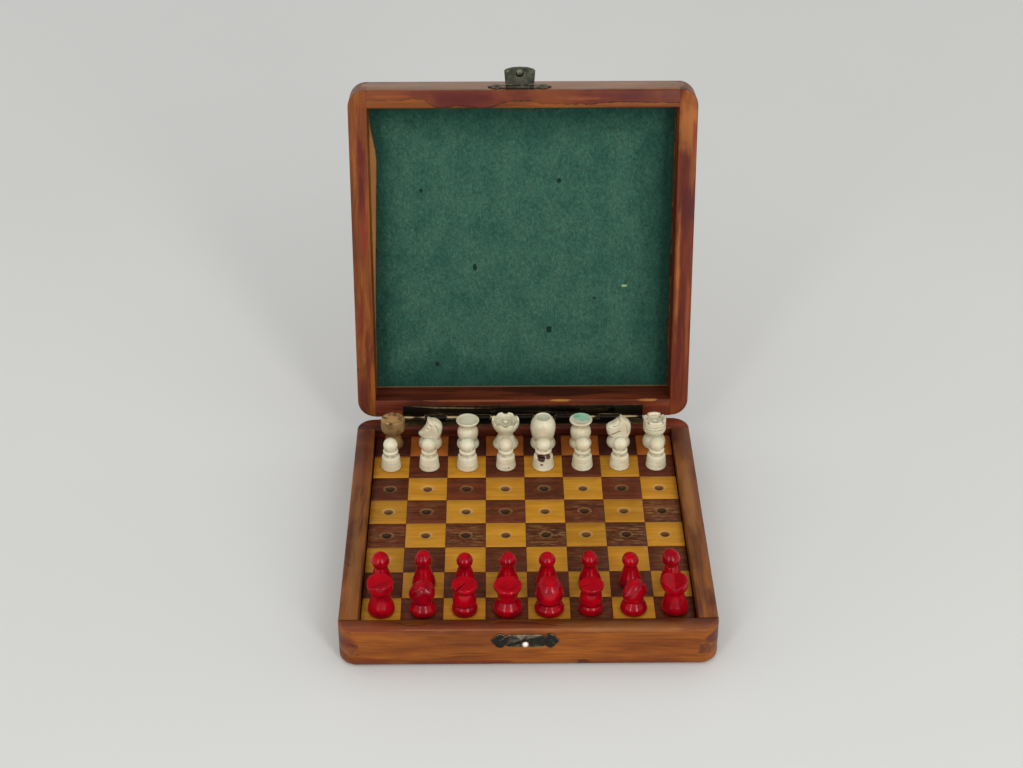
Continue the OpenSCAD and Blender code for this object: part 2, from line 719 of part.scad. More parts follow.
module white_king() {
    r = royal_foot_d / 2;
    belly = white_king_d / 2;
    h = white_king_h;
    difference() {
        turned(concat([[r - 0.5, 0]], rise(r - 0.5, 0, r, 0.8, 3), fall(r, 1.4, 0.76 * r, 0.27 * h),
            rise(0.76 * r, 0.29 * h, belly, 0.6 * h), fall(belly, 0.6 * h, 0.64 * belly, h, 7)));
        dish(0.58 * belly, 0.5, h);
    }
}

module red_king() {
    r = royal_foot_d / 2;
    belly = red_king_d / 2;
    h = red_king_h;
    turned(concat([[r - 0.5, 0]], rise(r - 0.5, 0, r + 0.2, 1.1, 3), fall(r + 0.2, 1.6, 0.78 * r, 0.26 * h),
        rise(0.79 * r, 0.28 * h, belly, 0.5 * h), fall(belly, 0.7 * h, 0.7 * belly, 0.96 * h),
        [[0.3, h]]));
}

// Turned foot of a knight up to its neck
module knight_foot(r) {
    turned(concat([[r - 0.5, 0]], rise(r - 0.5, 0, r, 1, 3), fall(r, 1.6, 0.66 * r, 0.86 * r),
        [[0.6 * r, 0.94 * r]]));
}

// Knight's head cut from a flattened ball. The outline faces left, in shares of the height h
module knight_head(outline, h) {
    intersection() {
        translate([0, knight_t / 2, 0])
            rotate([90, 0, 0]) linear_extrude(knight_t) polygon([for (p = outline) h * p]);
        translate([0.06 * h, 0, 0.6 * h]) sphere(r = 0.47 * h);
    }
}

module white_knight_left() {
    knight_foot(white_foot_d / 2);
    knight_head([[-0.18, 0.21], [-0.24, 0.36], [-0.29, 0.46], [-0.2, 0.59], [-0.11, 0.74], [-0.07, 0.89],
        [-0.03, 1], [0.03, 0.96], [0.11, 0.97], [0.25, 0.9], [0.36, 0.78], [0.4, 0.66], [0.38, 0.49],
        [0.32, 0.36], [0.21, 0.21]], left_knight_h);
}

module white_knight_right() {
    h = right_knight_h;
    knight_foot(white_foot_d / 2);
    difference() {
        knight_head([[-0.14, 0.21], [-0.18, 0.31], [-0.23, 0.34], [-0.27, 0.55], [-0.27, 0.66], [-0.2, 0.73],
            [-0.08, 0.79], [0.03, 0.87], [0.1, 1], [0.2, 0.92], [0.31, 0.82], [0.38, 0.68], [0.38, 0.57],
            [0.34, 0.4], [0.2, 0.21]], h);
        translate([-0.23 * h, 0, 0.32 * h]) rotate([0, -30, 0])
            translate([-0.14 * h, -knight_t, 0]) cube([0.47 * h, 2 * knight_t, 0.02 * h]);
    }
}

module red_knight() {
    knight_foot(red_foot_d / 2 + 0.3);
    knight_head([[-0.18, 0.22], [-0.2, 0.35], [-0.24, 0.44], [-0.32, 0.59], [-0.34, 0.74], [-0.29, 0.87],
        [-0.15, 0.95], [0, 1], [0.16, 0.96], [0.29, 0.85], [0.37, 0.68], [0.35, 0.54], [0.27, 0.4],
        [0.22, 0.22]], red_knight_h);
}

module officer(white, i) {
    kind = kinds[i - 1];
    if (kind == "rook") {
        if (!white) red_rook();
        else if (i == 1) brown_rook();
        else white_rook();
    }
    if (kind == "knight") {
        if (!white) red_knight();
        else if (i == 2) white_knight_left();
        else white_knight_right();
    }
    if (kind == "bishop") {
        if (white) white_bishop();
        else red_bishop();
    }
    if (kind == "queen") {
        if (white) white_queen();
        else red_queen();
    }
    if (kind == "king") {
        if (white) white_king();
        else red_king();
    }
}

// Stands a piece, with its peg, on a square; play shifts it within its hole, turn turns it
module stand(i, j, play, turn) {
    translate([file_x(i) + play, rank_y(j), board_z + seat_gap]) rotate(turn) {
        children();
        translate([0, 0, -peg_len]) cylinder(r = peg_r, h = peg_len + 1);
    }
}

// Sideways play of each piece in its hole, as shares of the free play, file by file
most_play = hole_r - peg_r - 2 * running;
white_officer_play = [0.6, 1, 1, 1, 0.7, 0.7, 0.9, 0.2];
white_pawn_play = [-0.5, 1, 0.9, 1, 0.1, 1, -0.1, -0.5];
red_pawn_play = [-1, 0.9, 0.2, 1, -1, 0.4, -0.7, 0.4];
red_officer_play = [0.4, 1, 0.3, 1, 0.1, -1, -0.4, -0.3];
red_officer_turn = [-60, 0, 0, 0, 0, 40, 38, 0];

module white_officer(i) {
    color(i == 1 ? [0.55, 0.42, 0.25] : [0.85, 0.82, 0.68])
        stand(i, 8, white_officer_play[i - 1] * most_play, 0) officer(true, i);
}
module red_officer(i) {
    color([0.65, 0.04, 0.08])
        stand(i, 1, red_officer_play[i - 1] * most_play, red_officer_turn[i - 1]) officer(false, i);
}
module white_pawn_on(i) {
    color([0.85, 0.82, 0.68]) stand(i, 7, white_pawn_play[i - 1] * most_play, 0) white_pawn();
}
module red_pawn_on(i) {
    color([0.65, 0.04, 0.08]) stand(i, 2, red_pawn_play[i - 1] * most_play, 0) red_pawn();
}

base_front();
base_back();
base_left();
base_right();
base_bottom();
board_ledges();
board_core();
light_squares();
dark_squares();
hinge_base_leaf();
hinge_pin();
hinge_base_nails();
latch_plate();
latch_nails();
latch_stud();
lid_front();
lid_back();
lid_left();
lid_right();
lid_panel();
felt_lining();
hinge_lid_leaf();
hinge_lid_nails();
hasp_plate();
hasp_plate_nails();
hasp_pin();
hasp_tongue();
for (i = [1:8]) white_officer(i);
for (i = [1:8]) red_officer(i);
for (i = [1:8]) white_pawn_on(i);
for (i = [1:8]) red_pawn_on(i);
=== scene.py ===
"""Looks of a travel chess set: a hinged wooden box, the pegged board in its base and 32 chessmen.

Every mesh is made in millimetres and put into the shared frame in metres. The lid stands open in
that frame; its finishes are laid out as if the box were shut. Plain colours are sRGB, 0 to 255.
"""
import logging
import math
from collections.abc import Callable, Iterator, Sequence
from contextlib import contextmanager
from dataclasses import dataclass
from enum import Enum
from functools import reduce
from itertools import product

import bmesh
import bpy
import numpy as np
from mathutils import Matrix, Vector, noise


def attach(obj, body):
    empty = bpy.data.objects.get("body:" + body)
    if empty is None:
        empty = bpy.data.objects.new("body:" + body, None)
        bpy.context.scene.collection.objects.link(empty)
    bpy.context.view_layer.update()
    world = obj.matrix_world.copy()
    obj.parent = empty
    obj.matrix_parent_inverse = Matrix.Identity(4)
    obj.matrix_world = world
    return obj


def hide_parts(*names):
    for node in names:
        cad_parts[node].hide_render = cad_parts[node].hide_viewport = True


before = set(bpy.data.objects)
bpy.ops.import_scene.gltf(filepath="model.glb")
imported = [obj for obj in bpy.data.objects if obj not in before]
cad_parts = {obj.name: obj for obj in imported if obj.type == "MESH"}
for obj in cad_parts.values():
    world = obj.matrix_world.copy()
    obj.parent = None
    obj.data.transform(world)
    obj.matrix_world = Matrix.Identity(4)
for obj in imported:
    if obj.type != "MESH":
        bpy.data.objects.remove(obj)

LOG = logging.getLogger("travel_chess")
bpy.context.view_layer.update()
MM = 0.001
BOX_W = 140.0
BOX_D = 142.0
WALL = 7.5
CORNER_R = 7.0
BASE_H = 16.5
LID_Z = 16.7
LID_H = 16.5
PANEL_T = 2.6
HINGE = Vector((0.0, 71.6, 16.6))
LID_OPEN = 98.8

Socket = bpy.types.NodeSocket
Thing = bpy.types.Object
Material = bpy.types.Material
Triple = tuple[float, float, float]
Point = tuple[float, float]
Tint = Socket | Triple
Amount = Socket | float
Faces = list[tuple[int, ...]]

NO_MOVE = (0.0, 0.0, 0.0)
UPWARD = (0.0, 0.0, 1.0)


class Part(Enum):
    """Half of the box that a finish is laid out on; the value is its CAD body."""

    BASE = "base"
    LID = "lid"

    @property
    def opened(self) -> float:
        """How far this half stands open, in radians."""
        return math.radians(LID_OPEN) if self is Part.LID else 0.0

    @property
    def turn(self) -> Matrix:
        """Turn that opens this half from shut to where it stands, in millimetres."""
        return Matrix.Translation(HINGE) @ Matrix.Rotation(-self.opened, 4, "X") @ Matrix.Translation(-HINGE)


class Grain(Enum):
    """The way the grain runs: the value holds 1 along the grain and 0 across it."""

    ALONG_X = (1, 0, 0)
    ALONG_Y = (0, 1, 0)

    def stretch(self, along: float, across: float) -> Triple:
        """Scales for a texture that is drawn out along the grain."""
        return tuple(along if axis else across for axis in self.value)


def linear(color: Triple) -> tuple[float, ...]:
    """Linear RGBA of an sRGB colour."""
    shares = [channel / 255 for channel in color]
    return *(s / 12.92 if s <= 0.04045 else ((s + 0.055) / 1.055) ** 2.4 for s in shares), 1.0


def lot(number: int) -> float:
    """Repeatable number from 0 to 1 that looks drawn by lot."""
    return math.modf(abs(math.sin(number * 12.9898) * 43758.5453))[0]


# ---- Node graphs ----


class Graph:
    """Node tree of one finish, with short calls that add a node and give back its output."""

    def __init__(self, name: str, store: str = "materials") -> None:
        """Starts the empty tree of a new material or world.

        Args:
            name: Its name.
            store: Where bpy.data keeps its kind.
        """
        self.owner = getattr(bpy.data, store).new(name)
        self.owner.use_nodes = True
        self.tree = self.owner.node_tree
        self.tree.nodes.clear()

    def add(self, kind: str, inputs: dict[str | int, object], **settings: object) -> bpy.types.Node:
        """Adds a node.

        Args:
            kind: Node type without its ShaderNode prefix.
            inputs: Values or sockets for its inputs, by name or index.
            settings: Properties of the node.

        Returns:
            The new node.
        """
        node = self.tree.nodes.new("ShaderNode" + kind)
        for key, value in settings.items():
            setattr(node, key, value)
        for key, value in inputs.items():
            if isinstance(value, Socket):
                self.tree.links.new(value, node.inputs[key])
            else:
                node.inputs[key].default_value = value
        return node

    def mapped(self, vector: Socket, scale: Triple | float, move: Triple = NO_MOVE, turn: Triple = NO_MOVE) -> Socket:
        """Vector after a scale, a turn and a move, in that order."""
        scale = scale if isinstance(scale, tuple) else (scale,) * 3
        return self.add("Mapping", {"Vector": vector, "Location": move, "Rotation": turn, "Scale": scale}).outputs[0]

    def place(self, part: Part = Part.BASE) -> Socket:
        """Place on the object in millimetres, as if the box were shut.

        Args:
            part: The half of the box that the finish lies on.

        Returns:
            A vector socket.
        """
        spot = self.add("TexCoord", {}).outputs["Object"]
        move = HINGE - Matrix.Rotation(part.opened, 3, "X") @ HINGE
        return self.mapped(spot, 1 / MM, tuple(move), (part.opened, 0, 0))

    def facing(self, part: Part, axis: Triple) -> Socket:
        """How squarely the surface faces along an axis of the shut box.

        Args:
            part: The half of the box that the finish lies on.
            axis: Unit vector.

        Returns:
            A value from 0 to 1.
        """
        normal = self.add("TexCoord", {}).outputs["Normal"]
        turned = self.add("VectorRotate", {"Vector": normal, "Angle": part.opened}, rotation_type="X_AXIS")
        return self.math("ABSOLUTE", self.dot(turned.outputs[0], axis))

    def vector(self, operation: str, first: Socket | Triple, second: Socket | Triple = NO_MOVE) -> bpy.types.Node:
        """Vector math node."""
        return self.add("VectorMath", {0: first, 1: second}, operation=operation)

    def dot(self, first: Socket, second: Triple) -> Socket:
        """Dot product."""
        return self.vector("DOT_PRODUCT", first, second).outputs["Value"]

    def length(self, vector: Socket) -> Socket:
        """Length of a vector."""
        return self.vector("LENGTH", vector).outputs["Value"]

    def split(self, vector: Socket) -> list[Socket]:
        """The three parts of a vector."""
        return list(self.add("SeparateXYZ", {0: vector}).outputs)

    def stored(self, name: str) -> Socket:
        """Vector that the mesh stores under this name."""
        return self.add("Attribute", {}, attribute_name=name).outputs["Vector"]

    def math(self, operation: str, first: Amount, second: Amount = 0.0, clamp: bool = False) -> Socket:
        """Result of one math node."""
        return self.add("Math", {0: first, 1: second}, operation=operation, use_clamp=clamp).outputs[0]

    def times(self, *values: Amount) -> Socket:
        """Product of values."""
        return reduce(lambda first, second: self.math("MULTIPLY", first, second), values)

    def plus(self, first: Amount, second: Amount) -> Socket:
        """Sum of two values."""
        return self.math("ADD", first, second)

    def minus(self, first: Amount, second: Amount) -> Socket:
        """Difference of two values."""
        return self.math("SUBTRACT", first, second)

    def smooth(self, value: Socket, start: float, end: float, low: float = 0.0, high: float = 1.0) -> Socket:
        """Value that eases from low to high as its input goes from start to end."""
        inputs = {"Value": value, "From Min": start, "From Max": end, "To Min": low, "To Max": high}
        return self.add("MapRange", inputs, interpolation_type="SMOOTHSTEP").outputs[0]

    def noise(self, place: Socket, scale: Triple | float, detail: float = 2.0, rough: float = 0.5,
              move: Triple = NO_MOVE, distortion: float = 0.0) -> Socket:
        """Grey noise around 0.5."""
        return self.add("TexNoise", {"Vector": self.mapped(place, scale, move), "Scale": 1.0, "Detail": detail,
                                     "Roughness": rough, "Distortion": distortion}).outputs[0]

    def bent(self, place: Socket, stretch: Triple | float, amount: float) -> Socket:
        """Place pushed about by slow noise, which makes straight grain wander.

        Args:
            place: Vector to push.
            stretch: Scale of the noise along each axis.
            amount: Most that a point moves, in millimetres.

        Returns:
            A vector socket.
        """
        slow = self.add("TexNoise", {"Vector": self.mapped(place, stretch), "Scale": 1.0, "Detail": 2.0})
        push = self.mapped(slow.outputs["Color"], 2 * amount, (-amount,) * 3)
        return self.vector("ADD", place, push).outputs[0]

    def mix(self, share: Amount, first: Tint, second: Tint, blend: str = "MIX") -> Socket:
        """Two colours mixed."""
        first, second = (tint if isinstance(tint, Socket) else linear(tint) for tint in (first, second))
        return self.add("Mix", {0: share, 6: first, 7: second}, data_type="RGBA", blend_type=blend).outputs[2]

    def ramp(self, value: Socket, stops: Sequence[Point]) -> Socket:
        """Grey read from a row of stops.

        Args:
            value: Where along the row to read, from 0 to 1.
            stops: Place and grey of each stop.

        Returns:
            A colour socket.
        """
        node = self.add("ValToRGB", {0: value})
        elements = node.color_ramp.elements
        for index, (spot, grey) in enumerate(stops):
            element = elements[index] if index < 2 else elements.new(spot)
            element.position = spot
            element.color = (grey, grey, grey, 1.0)
        return node.outputs[0]

    def shade(self, color: Tint, value: Socket, dark: float, light: float) -> Socket:
        """Colour made darker or lighter by a value that lies around 0.5."""
        return self.mix(1.0, color, self.ramp(value, [(0.25, dark), (0.75, light)]), "MULTIPLY")

    def bump(self, height: Socket, depth: float, strength: float = 1.0) -> Socket:
        """Normal of a surface with that height in millimetres of depth."""
        return self.add("Bump", {"Strength": strength, "Distance": depth * MM, "Height": height}).outputs[0]

    def shader(self, inputs: dict[str, object]) -> Material:
        """Ends the tree in one principled shader with these sockets and plain values."""
        self.add("OutputMaterial", {"Surface": self.add("BsdfPrincipled", inputs).outputs[0]})
        return self.owner


# ---- Finishes ----


@dataclass(frozen=True)
class Stain:
    """A ragged spot of another colour in the wood, the felt, the metal or a chessman."""

    centre: Triple
    size: Triple
    color: Triple
    strength: float = 0.8
    ragged: float = 0.3
    rough: Triple | float = 0.25
    soft: float = 0.35

    def over(self, g: Graph, place: Socket, color: Socket) -> Socket:
        """Lays the stain over a colour.

        Args:
            g: Tree to add to.
            place: Place on the object in millimetres.
            color: Colour underneath.

        Returns:
            The stained colour.
        """
        local = g.mapped(place, tuple(1 / s for s in self.size), tuple(-c / s for c, s in zip(self.centre, self.size)))
        wander = g.times(g.minus(g.noise(place, self.rough, 3), 0.5), 2 * self.ragged)
        share = g.smooth(g.plus(g.length(local), wander), 1.05 - self.soft, 1.05, 1.0, 0.0)
        return g.mix(g.times(share, self.strength), color, self.color)


def along_rim(rough: Triple | float, soft: float, *rows: tuple) -> tuple[Stain, ...]:
    """Stains on the rim of the shut box, from the place, size, colour, strength and raggedness of each."""
    return tuple(Stain((x, y, LID_Z), size, color, strength, ragged, rough, soft)
                 for x, y, size, color, strength, ragged in rows)


@dataclass(frozen=True)
class Vein:
    """A wandering dark line along the rim of a front wall, with red heartwood in front of it."""

    points: tuple[Point, ...]
    color: Triple
    reach: float
    strength: float
    line: Triple = (48, 14, 8)

    def over(self, g: Graph, part: Part, place: Socket, color: Socket) -> Socket:
        """Lays the vein over a colour.

        Args:
            g: Tree to add to.
            part: Half of the box that the wall belongs to.
            place: Place on the object in millimetres.
            color: Colour underneath.

        Returns:
            The veined colour.
        """
        starts, ends = self.points[0][0], self.points[-1][0]
        low = min(height for _, height in self.points)
        span = max(height for _, height in self.points) - low
        stops = [((along - starts) / (ends - starts), (height - low) / span) for along, height in self.points]
        x, y, _ = g.split(place)
        along = g.plus(x, g.smooth(g.noise(place, 0.4), 0, 1, -1.5, 1.5))
        level = g.plus(g.times(g.ramp(g.smooth(along, starts, ends), stops), span), low)
        tremble = g.noise(place, 0.35, 3, 0.6, (4, 1, 9))
        above = g.plus(g.minus(level, y), g.times(g.minus(tremble, 0.5), 1.1))
        turned = g.smooth(g.facing(part, UPWARD), 0.5, 0.8)
        body = g.times(g.smooth(above, -0.15, 0.5), g.smooth(above, self.reach * 0.4, self.reach, 1, 0))
        line = g.smooth(g.math("ABSOLUTE", above), 0.1, 0.42, 1.0, 0.0)
        line = g.times(line, g.smooth(tremble, 0.3, 0.55, 0.35, 0.95))
        color = g.mix(g.times(body, turned, self.strength), color, self.color)
        return g.mix(g.times(line, turned), color, self.line)


@dataclass(frozen=True)
class Wood:
    """Varnished, figured wood with honey and red-brown bands, growth rings and open pores."""

    name: str
    grain: Grain
    part: Part = Part.BASE
    pale: Triple = (148, 82, 22)
    mid: Triple = (118, 58, 16)
    heart: Triple = (98, 34, 18)
    line: Triple = (46, 14, 6)
    end_grain: Triple = (70, 26, 14)
    ring: float = 2.6
    pith: Triple = (38.0, 38.0, -46.0)
    wander: float = 2.2
    heart_cut: float = 0.55
    wave: float = 0.012
    lean: Triple = NO_MOVE
    lean_from: Triple = NO_MOVE
    seed: float = 0.0
    line_strength: float = 0.75
    veins: tuple[Vein, ...] = ()
    stains: tuple[Stain, ...] = ()

    def make(self) -> Material:
        """Builds the material."""
        g = Graph(self.name)
        stretch = self.grain.stretch
        here = g.place(self.part)
        shift = (self.seed * 37, self.seed * 37, self.seed * 11)
        place = g.mapped(here, 1.0, shift)
        bent = g.bent(place, stretch(0.02, 0.07), self.wander)
        pith = tuple(-(p + m) / self.ring * a for p, m, a in zip(self.pith, shift, stretch(0, 1)))
        rings = g.plus(g.length(g.mapped(bent, stretch(0, 1 / self.ring), pith)), g.noise(place, stretch(0.03, 0.5)))
        saw = g.math("FRACT", rings)
        late = g.times(g.smooth(saw, 0.45, 0.95), g.smooth(saw, 0.95, 1.0, 1.0, 0.0))
        tone = g.noise(bent, stretch(0.016, 0.26), 4, 0.62)
        color = g.mix(g.smooth(tone, 0.36, 0.64), self.pale, self.mid)
        slope = g.dot(g.mapped(here, 1.0, tuple(-c for c in self.lean_from)), self.lean)
        wide = g.plus(g.noise(bent, stretch(self.wave, 0.12), 2, 0.5, (5, 3, 1), 0.4), slope)
        heart = g.smooth(wide, self.heart_cut - 0.03, self.heart_cut + 0.06)
        inner = g.mix(0.35, self.heart, g.mix(g.smooth(tone, 0.35, 0.65), self.heart, self.line))
        color = g.mix(g.times(heart, 0.92), color, inner)
        border = g.smooth(g.math("ABSOLUTE", g.minus(wide, self.heart_cut - 0.01)), 0.004, 0.018, 1, 0)
        uneven = g.smooth(g.noise(place, stretch(0.03, 0.15), move=(9, 2, 7)), 0.35, 0.65)
        late = g.times(late, uneven, self.line_strength * 0.5)
        color = g.mix(late, color, self.line)
        color = g.mix(g.times(border, uneven, self.line_strength), color, self.line)
        fibre = g.noise(bent, stretch(0.07, 1.7), 5, 0.7)
        for vein in self.veins:
            color = vein.over(g, self.part, here, color)
        color = g.shade(color, fibre, 0.66, 1.3)
        pores = g.smooth(g.noise(bent, stretch(0.35, 6.5), 1), 0.66, 0.74)
        color = g.mix(g.times(pores, 0.45), color, self.line)
        for stain in self.stains:
            color = stain.over(g, here, color)
        end = g.smooth(g.facing(self.part, stretch(1, 0)), 0.8, 0.98)
        end = g.times(end, g.smooth(g.noise(here, 0.4, 3), 0.3, 0.62, 0.1, 0.5))
        color = g.mix(end, color, self.end_grain)
        blotch = g.noise(here, (0.05, 0.05, 0.08), 3)
        color = g.shade(color, blotch, 0.86, 1.14)
        rubbed = g.times(g.split(g.stored("edge"))[0], g.smooth(blotch, 0.4, 0.62, 0.0, 0.4))
        color = g.mix(rubbed, color, self.pale)
        height = g.minus(g.times(fibre, 0.5), g.plus(pores, late))
        return g.shader({"Base Color": color, "Roughness": g.smooth(fibre, 0.2, 0.8, 0.34, 0.5),
                         "Normal": g.bump(height, 0.04, 0.7), "Coat Weight": 0.05, "Coat Roughness": 0.25,
                         "Specular IOR Level": 0.18})


@dataclass(frozen=True)
class RawWood:
    """Plain unvarnished wood under the veneer, stained dark under the dark squares."""

    name: str
    color: Triple
    dyed: Triple
    square: float
    front: float

    def make(self) -> Material:
        """Builds the material."""
        g = Graph(self.name)
        place = g.place()
        fibre = g.noise(place, (0.08, 2.4, 2.4), 4, 0.6)
        pitch = 1 / self.square
        checker = g.mapped(place, (pitch, pitch, 0), (16, 16 - self.front * pitch, 0.5))
        dark = g.add("TexChecker", {"Vector": checker, "Scale": 1.0}).outputs["Fac"]
        color = g.shade(g.mix(dark, self.color, self.dyed), fibre, 0.78, 1.15)
        color = g.shade(color, g.noise(place, 0.08, 3), 0.85, 1.1)
        return g.shader({"Base Color": color, "Roughness": 0.75, "Normal": g.bump(fibre, 0.06)})


@dataclass(frozen=True)
class Veneer:
    """Veneer of one colour of squares, with rubbed rings round the holes that have long stood free."""

    name: str
    pale: Triple
    deep: Triple
    rubbed: Triple
    streak: Triple
    inside: Triple
    kept: Triple
    streaks: float
    figure: float

    def make(self) -> Material:
        """Builds the material. Each square stores its place from its hole, its tone and its wear."""
        g = Graph(self.name)
        from_hole, square = g.stored("from_hole"), g.stored("square")
        chance, wear, torn_share = g.split(square)
        place = g.vector("ADD", from_hole, g.mapped(square, (173, 91, 57))).outputs[0]
        bent = g.bent(place, (0.05, 0.12, 0.12), 0.9)
        fibre = g.noise(bent, (0.09, 2.6, 2.6), 4, 0.62)
        band = g.noise(bent, (0.03, 0.55, 0.55), 3, 0.6)
        color = g.mix(g.smooth(band, 0.32, 0.68), self.pale, self.deep)
        color = g.shade(color, fibre, 1.0 - self.figure, 1.0 + self.figure)
        dash = g.smooth(g.noise(bent, (0.28, 5.0, 5.0), move=(3, 0, 0)), 0.6, 0.72)
        color = g.mix(g.times(dash, 2 * self.figure), color, self.streak)
        color = g.mix(g.smooth(g.split(g.place())[1], 46.5, 48.5, 0.0, 0.85), color, self.kept)
        tone = g.smooth(chance, 0, 1, 0.86, 1.12)
        color = g.mix(1.0, color, g.add("CombineXYZ", {0: tone, 1: tone, 2: tone}).outputs[0], "MULTIPLY")
        wavy = g.plus(g.length(g.mapped(from_hole, (0.8, 1, 1))), g.times(g.noise(place, 0.9), 0.8))
        ring = g.times(g.smooth(wavy, 1.9, 2.15), g.smooth(wavy, 2.35, 2.9, 1.0, 0.0))
        color = g.mix(g.times(ring, wear, 0.6), color, self.rubbed)
        reach = g.smooth(g.length(g.mapped(from_hole, (0.075, 0.1, 1))), 0.5, 1.1, 1.0, 0.0)
        splinters = g.noise(bent, (0.2, 1.1, 1.1), 5, 0.75, (7, 1, 0))
        torn = g.times(g.smooth(splinters, 0.46, 0.68), reach, torn_share, self.streaks)
        color = g.mix(torn, color, self.rubbed)
        gap = g.times(g.smooth(splinters, 0.44, 0.34), reach, torn_share, self.streaks * 0.6)
        color = g.mix(gap, color, self.streak)
        color = g.mix(g.smooth(g.length(from_hole), 1.7, 1.82, 1.0, 0.0), color, self.inside)
        height = g.minus(fibre, g.plus(g.times(dash, 0.5), torn))
        return g.shader({"Base Color": color, "Roughness": g.smooth(fibre, 0.2, 0.8, 0.42, 0.58),
                         "Normal": g.bump(height, 0.03, 0.6), "Specular IOR Level": 0.22})


@dataclass(frozen=True)
class Felt:
    """Faded green wool felt with matted fibres, dark moth specks, a pale fleck and painted shade of the lid's walls
    towards its edges.
    """

    name: str = "felt_wool"
    faded: Triple = (55, 89, 74)
    fresh: Triple = (40, 78, 66)
    shaded: Triple = (20, 56, 46)
    dark: Triple = (22, 46, 38)
    cut_edge: Triple = (140, 108, 68)
    specks: tuple[Stain, ...] = (
        *(Stain((x, y, 30), (wide, tall, 9), (12, 34, 28), 0.95, 0.6, 0.7)
          for x, y, wide, tall in ((-42.0, -25.2, 0.8, 1.0), (-20.0, 8.4, 1.0, 1.7), (15.0, -29.2, 0.9, 1.3),
                                   (30.4, 22.6, 0.7, 0.7), (11.2, 36.6, 1.4, 1.6), (-36.5, 52.4, 1.1, 1.3))),
        Stain((42.8, 17.1, 30), (1.5, 0.6, 9), (150, 176, 120), 0.8, 0.6, 1.2))

    def make(self) -> Material:
        """Builds the material."""
        g = Graph(self.name)
        place = g.place(Part.LID)
        x, y, _ = g.split(place)
        mottle = g.noise(place, (0.11, 0.07, 0.1), 6, 0.72)
        color = g.mix(g.smooth(mottle, 0.3, 0.72), self.faded, self.fresh)
        # Painted shade of the lid's walls: the felt turns darker towards its edges.
        side = g.smooth(g.math("ABSOLUTE", g.plus(x, 2.0)), 44, 63)
        end = g.smooth(g.math("ABSOLUTE", g.plus(y, -1.0)), 42, 63)
        rim = g.math("ADD", g.math("MAXIMUM", side, end), g.minus(mottle, 0.5), clamp=True)
        color = g.mix(g.times(rim, 0.85), color, self.shaded)
        matted = g.noise(place, (0.62, 0.36, 1.0), 5, 0.8)
        color = g.shade(color, matted, 0.56, 1.44)
        fibres = g.noise(g.bent(g.mapped(place, (1.3, 0.8, 1.5)), 0.4, 1.0), 1.0, 4, 0.8)
        color = g.shade(color, fibres, 0.5, 1.56)
        dusty = g.smooth(g.noise(place, (0.6, 0.5, 0.8), 3, move=(2, 8, 4)), 0.66, 0.76)
        color = g.mix(g.times(dusty, 0.7), color, self.dark)
        for speck in self.specks:
            color = speck.over(g, place, color)
        color = g.mix(g.times(g.smooth(y, 62.6, 63.0), 0.7), color, self.cut_edge)
        height = g.plus(g.times(fibres, 0.7), matted)
        return g.shader({"Base Color": color, "Roughness": 0.95, "Normal": g.bump(height, 0.3),
                         "Sheen Weight": 0.12, "Sheen Roughness": 0.5, "Specular IOR Level": 0.1})


@dataclass(frozen=True)
class AgedMetal:
    """Tarnished brass: a dark skin, rubbed through to warm metal in places."""

    name: str
    skin: Triple = (58, 56, 46)
    metal: Triple = (140, 112, 66)
    green: Triple = (64, 74, 60)
    rubbed: float = 0.3
    part: Part = Part.BASE
    shine: float = 0.8
    edge: float = 0.6
    dull: float = 0.0
    spots: tuple[Stain, ...] = ()

    def make(self) -> Material:
        """Builds the material."""
        g = Graph(self.name)
        place = g.place(self.part)
        color = g.mix(g.smooth(g.noise(place, 0.55, 4, 0.65), 0.35, 0.65), self.skin, self.green)
        patchy = g.noise(place, 0.5, 3, 0.6, (1.5, 2.5, 0.5))
        rubbed = g.times(g.smooth(patchy, 0.75 - self.rubbed * 0.4, 0.95 - self.rubbed * 0.4), 0.8)
        edge = g.times(g.split(g.stored("edge"))[0], g.smooth(patchy, 0.35, 0.62, 0.15, self.edge))
        color = g.mix(g.math("MAXIMUM", rubbed, edge), color, self.metal)
        for spot in self.spots:
            color = spot.over(g, place, color)
        grit = g.noise(place, 3.5, 3, 0.6)
        return g.shader({"Base Color": g.shade(color, grit, 0.85, 1.15), "Metallic": self.shine,
                         "Roughness": g.smooth(grit, 0.25, 0.75, 0.32 + self.dull, 0.5 + self.dull),
                         "Normal": g.bump(grit, 0.03)})


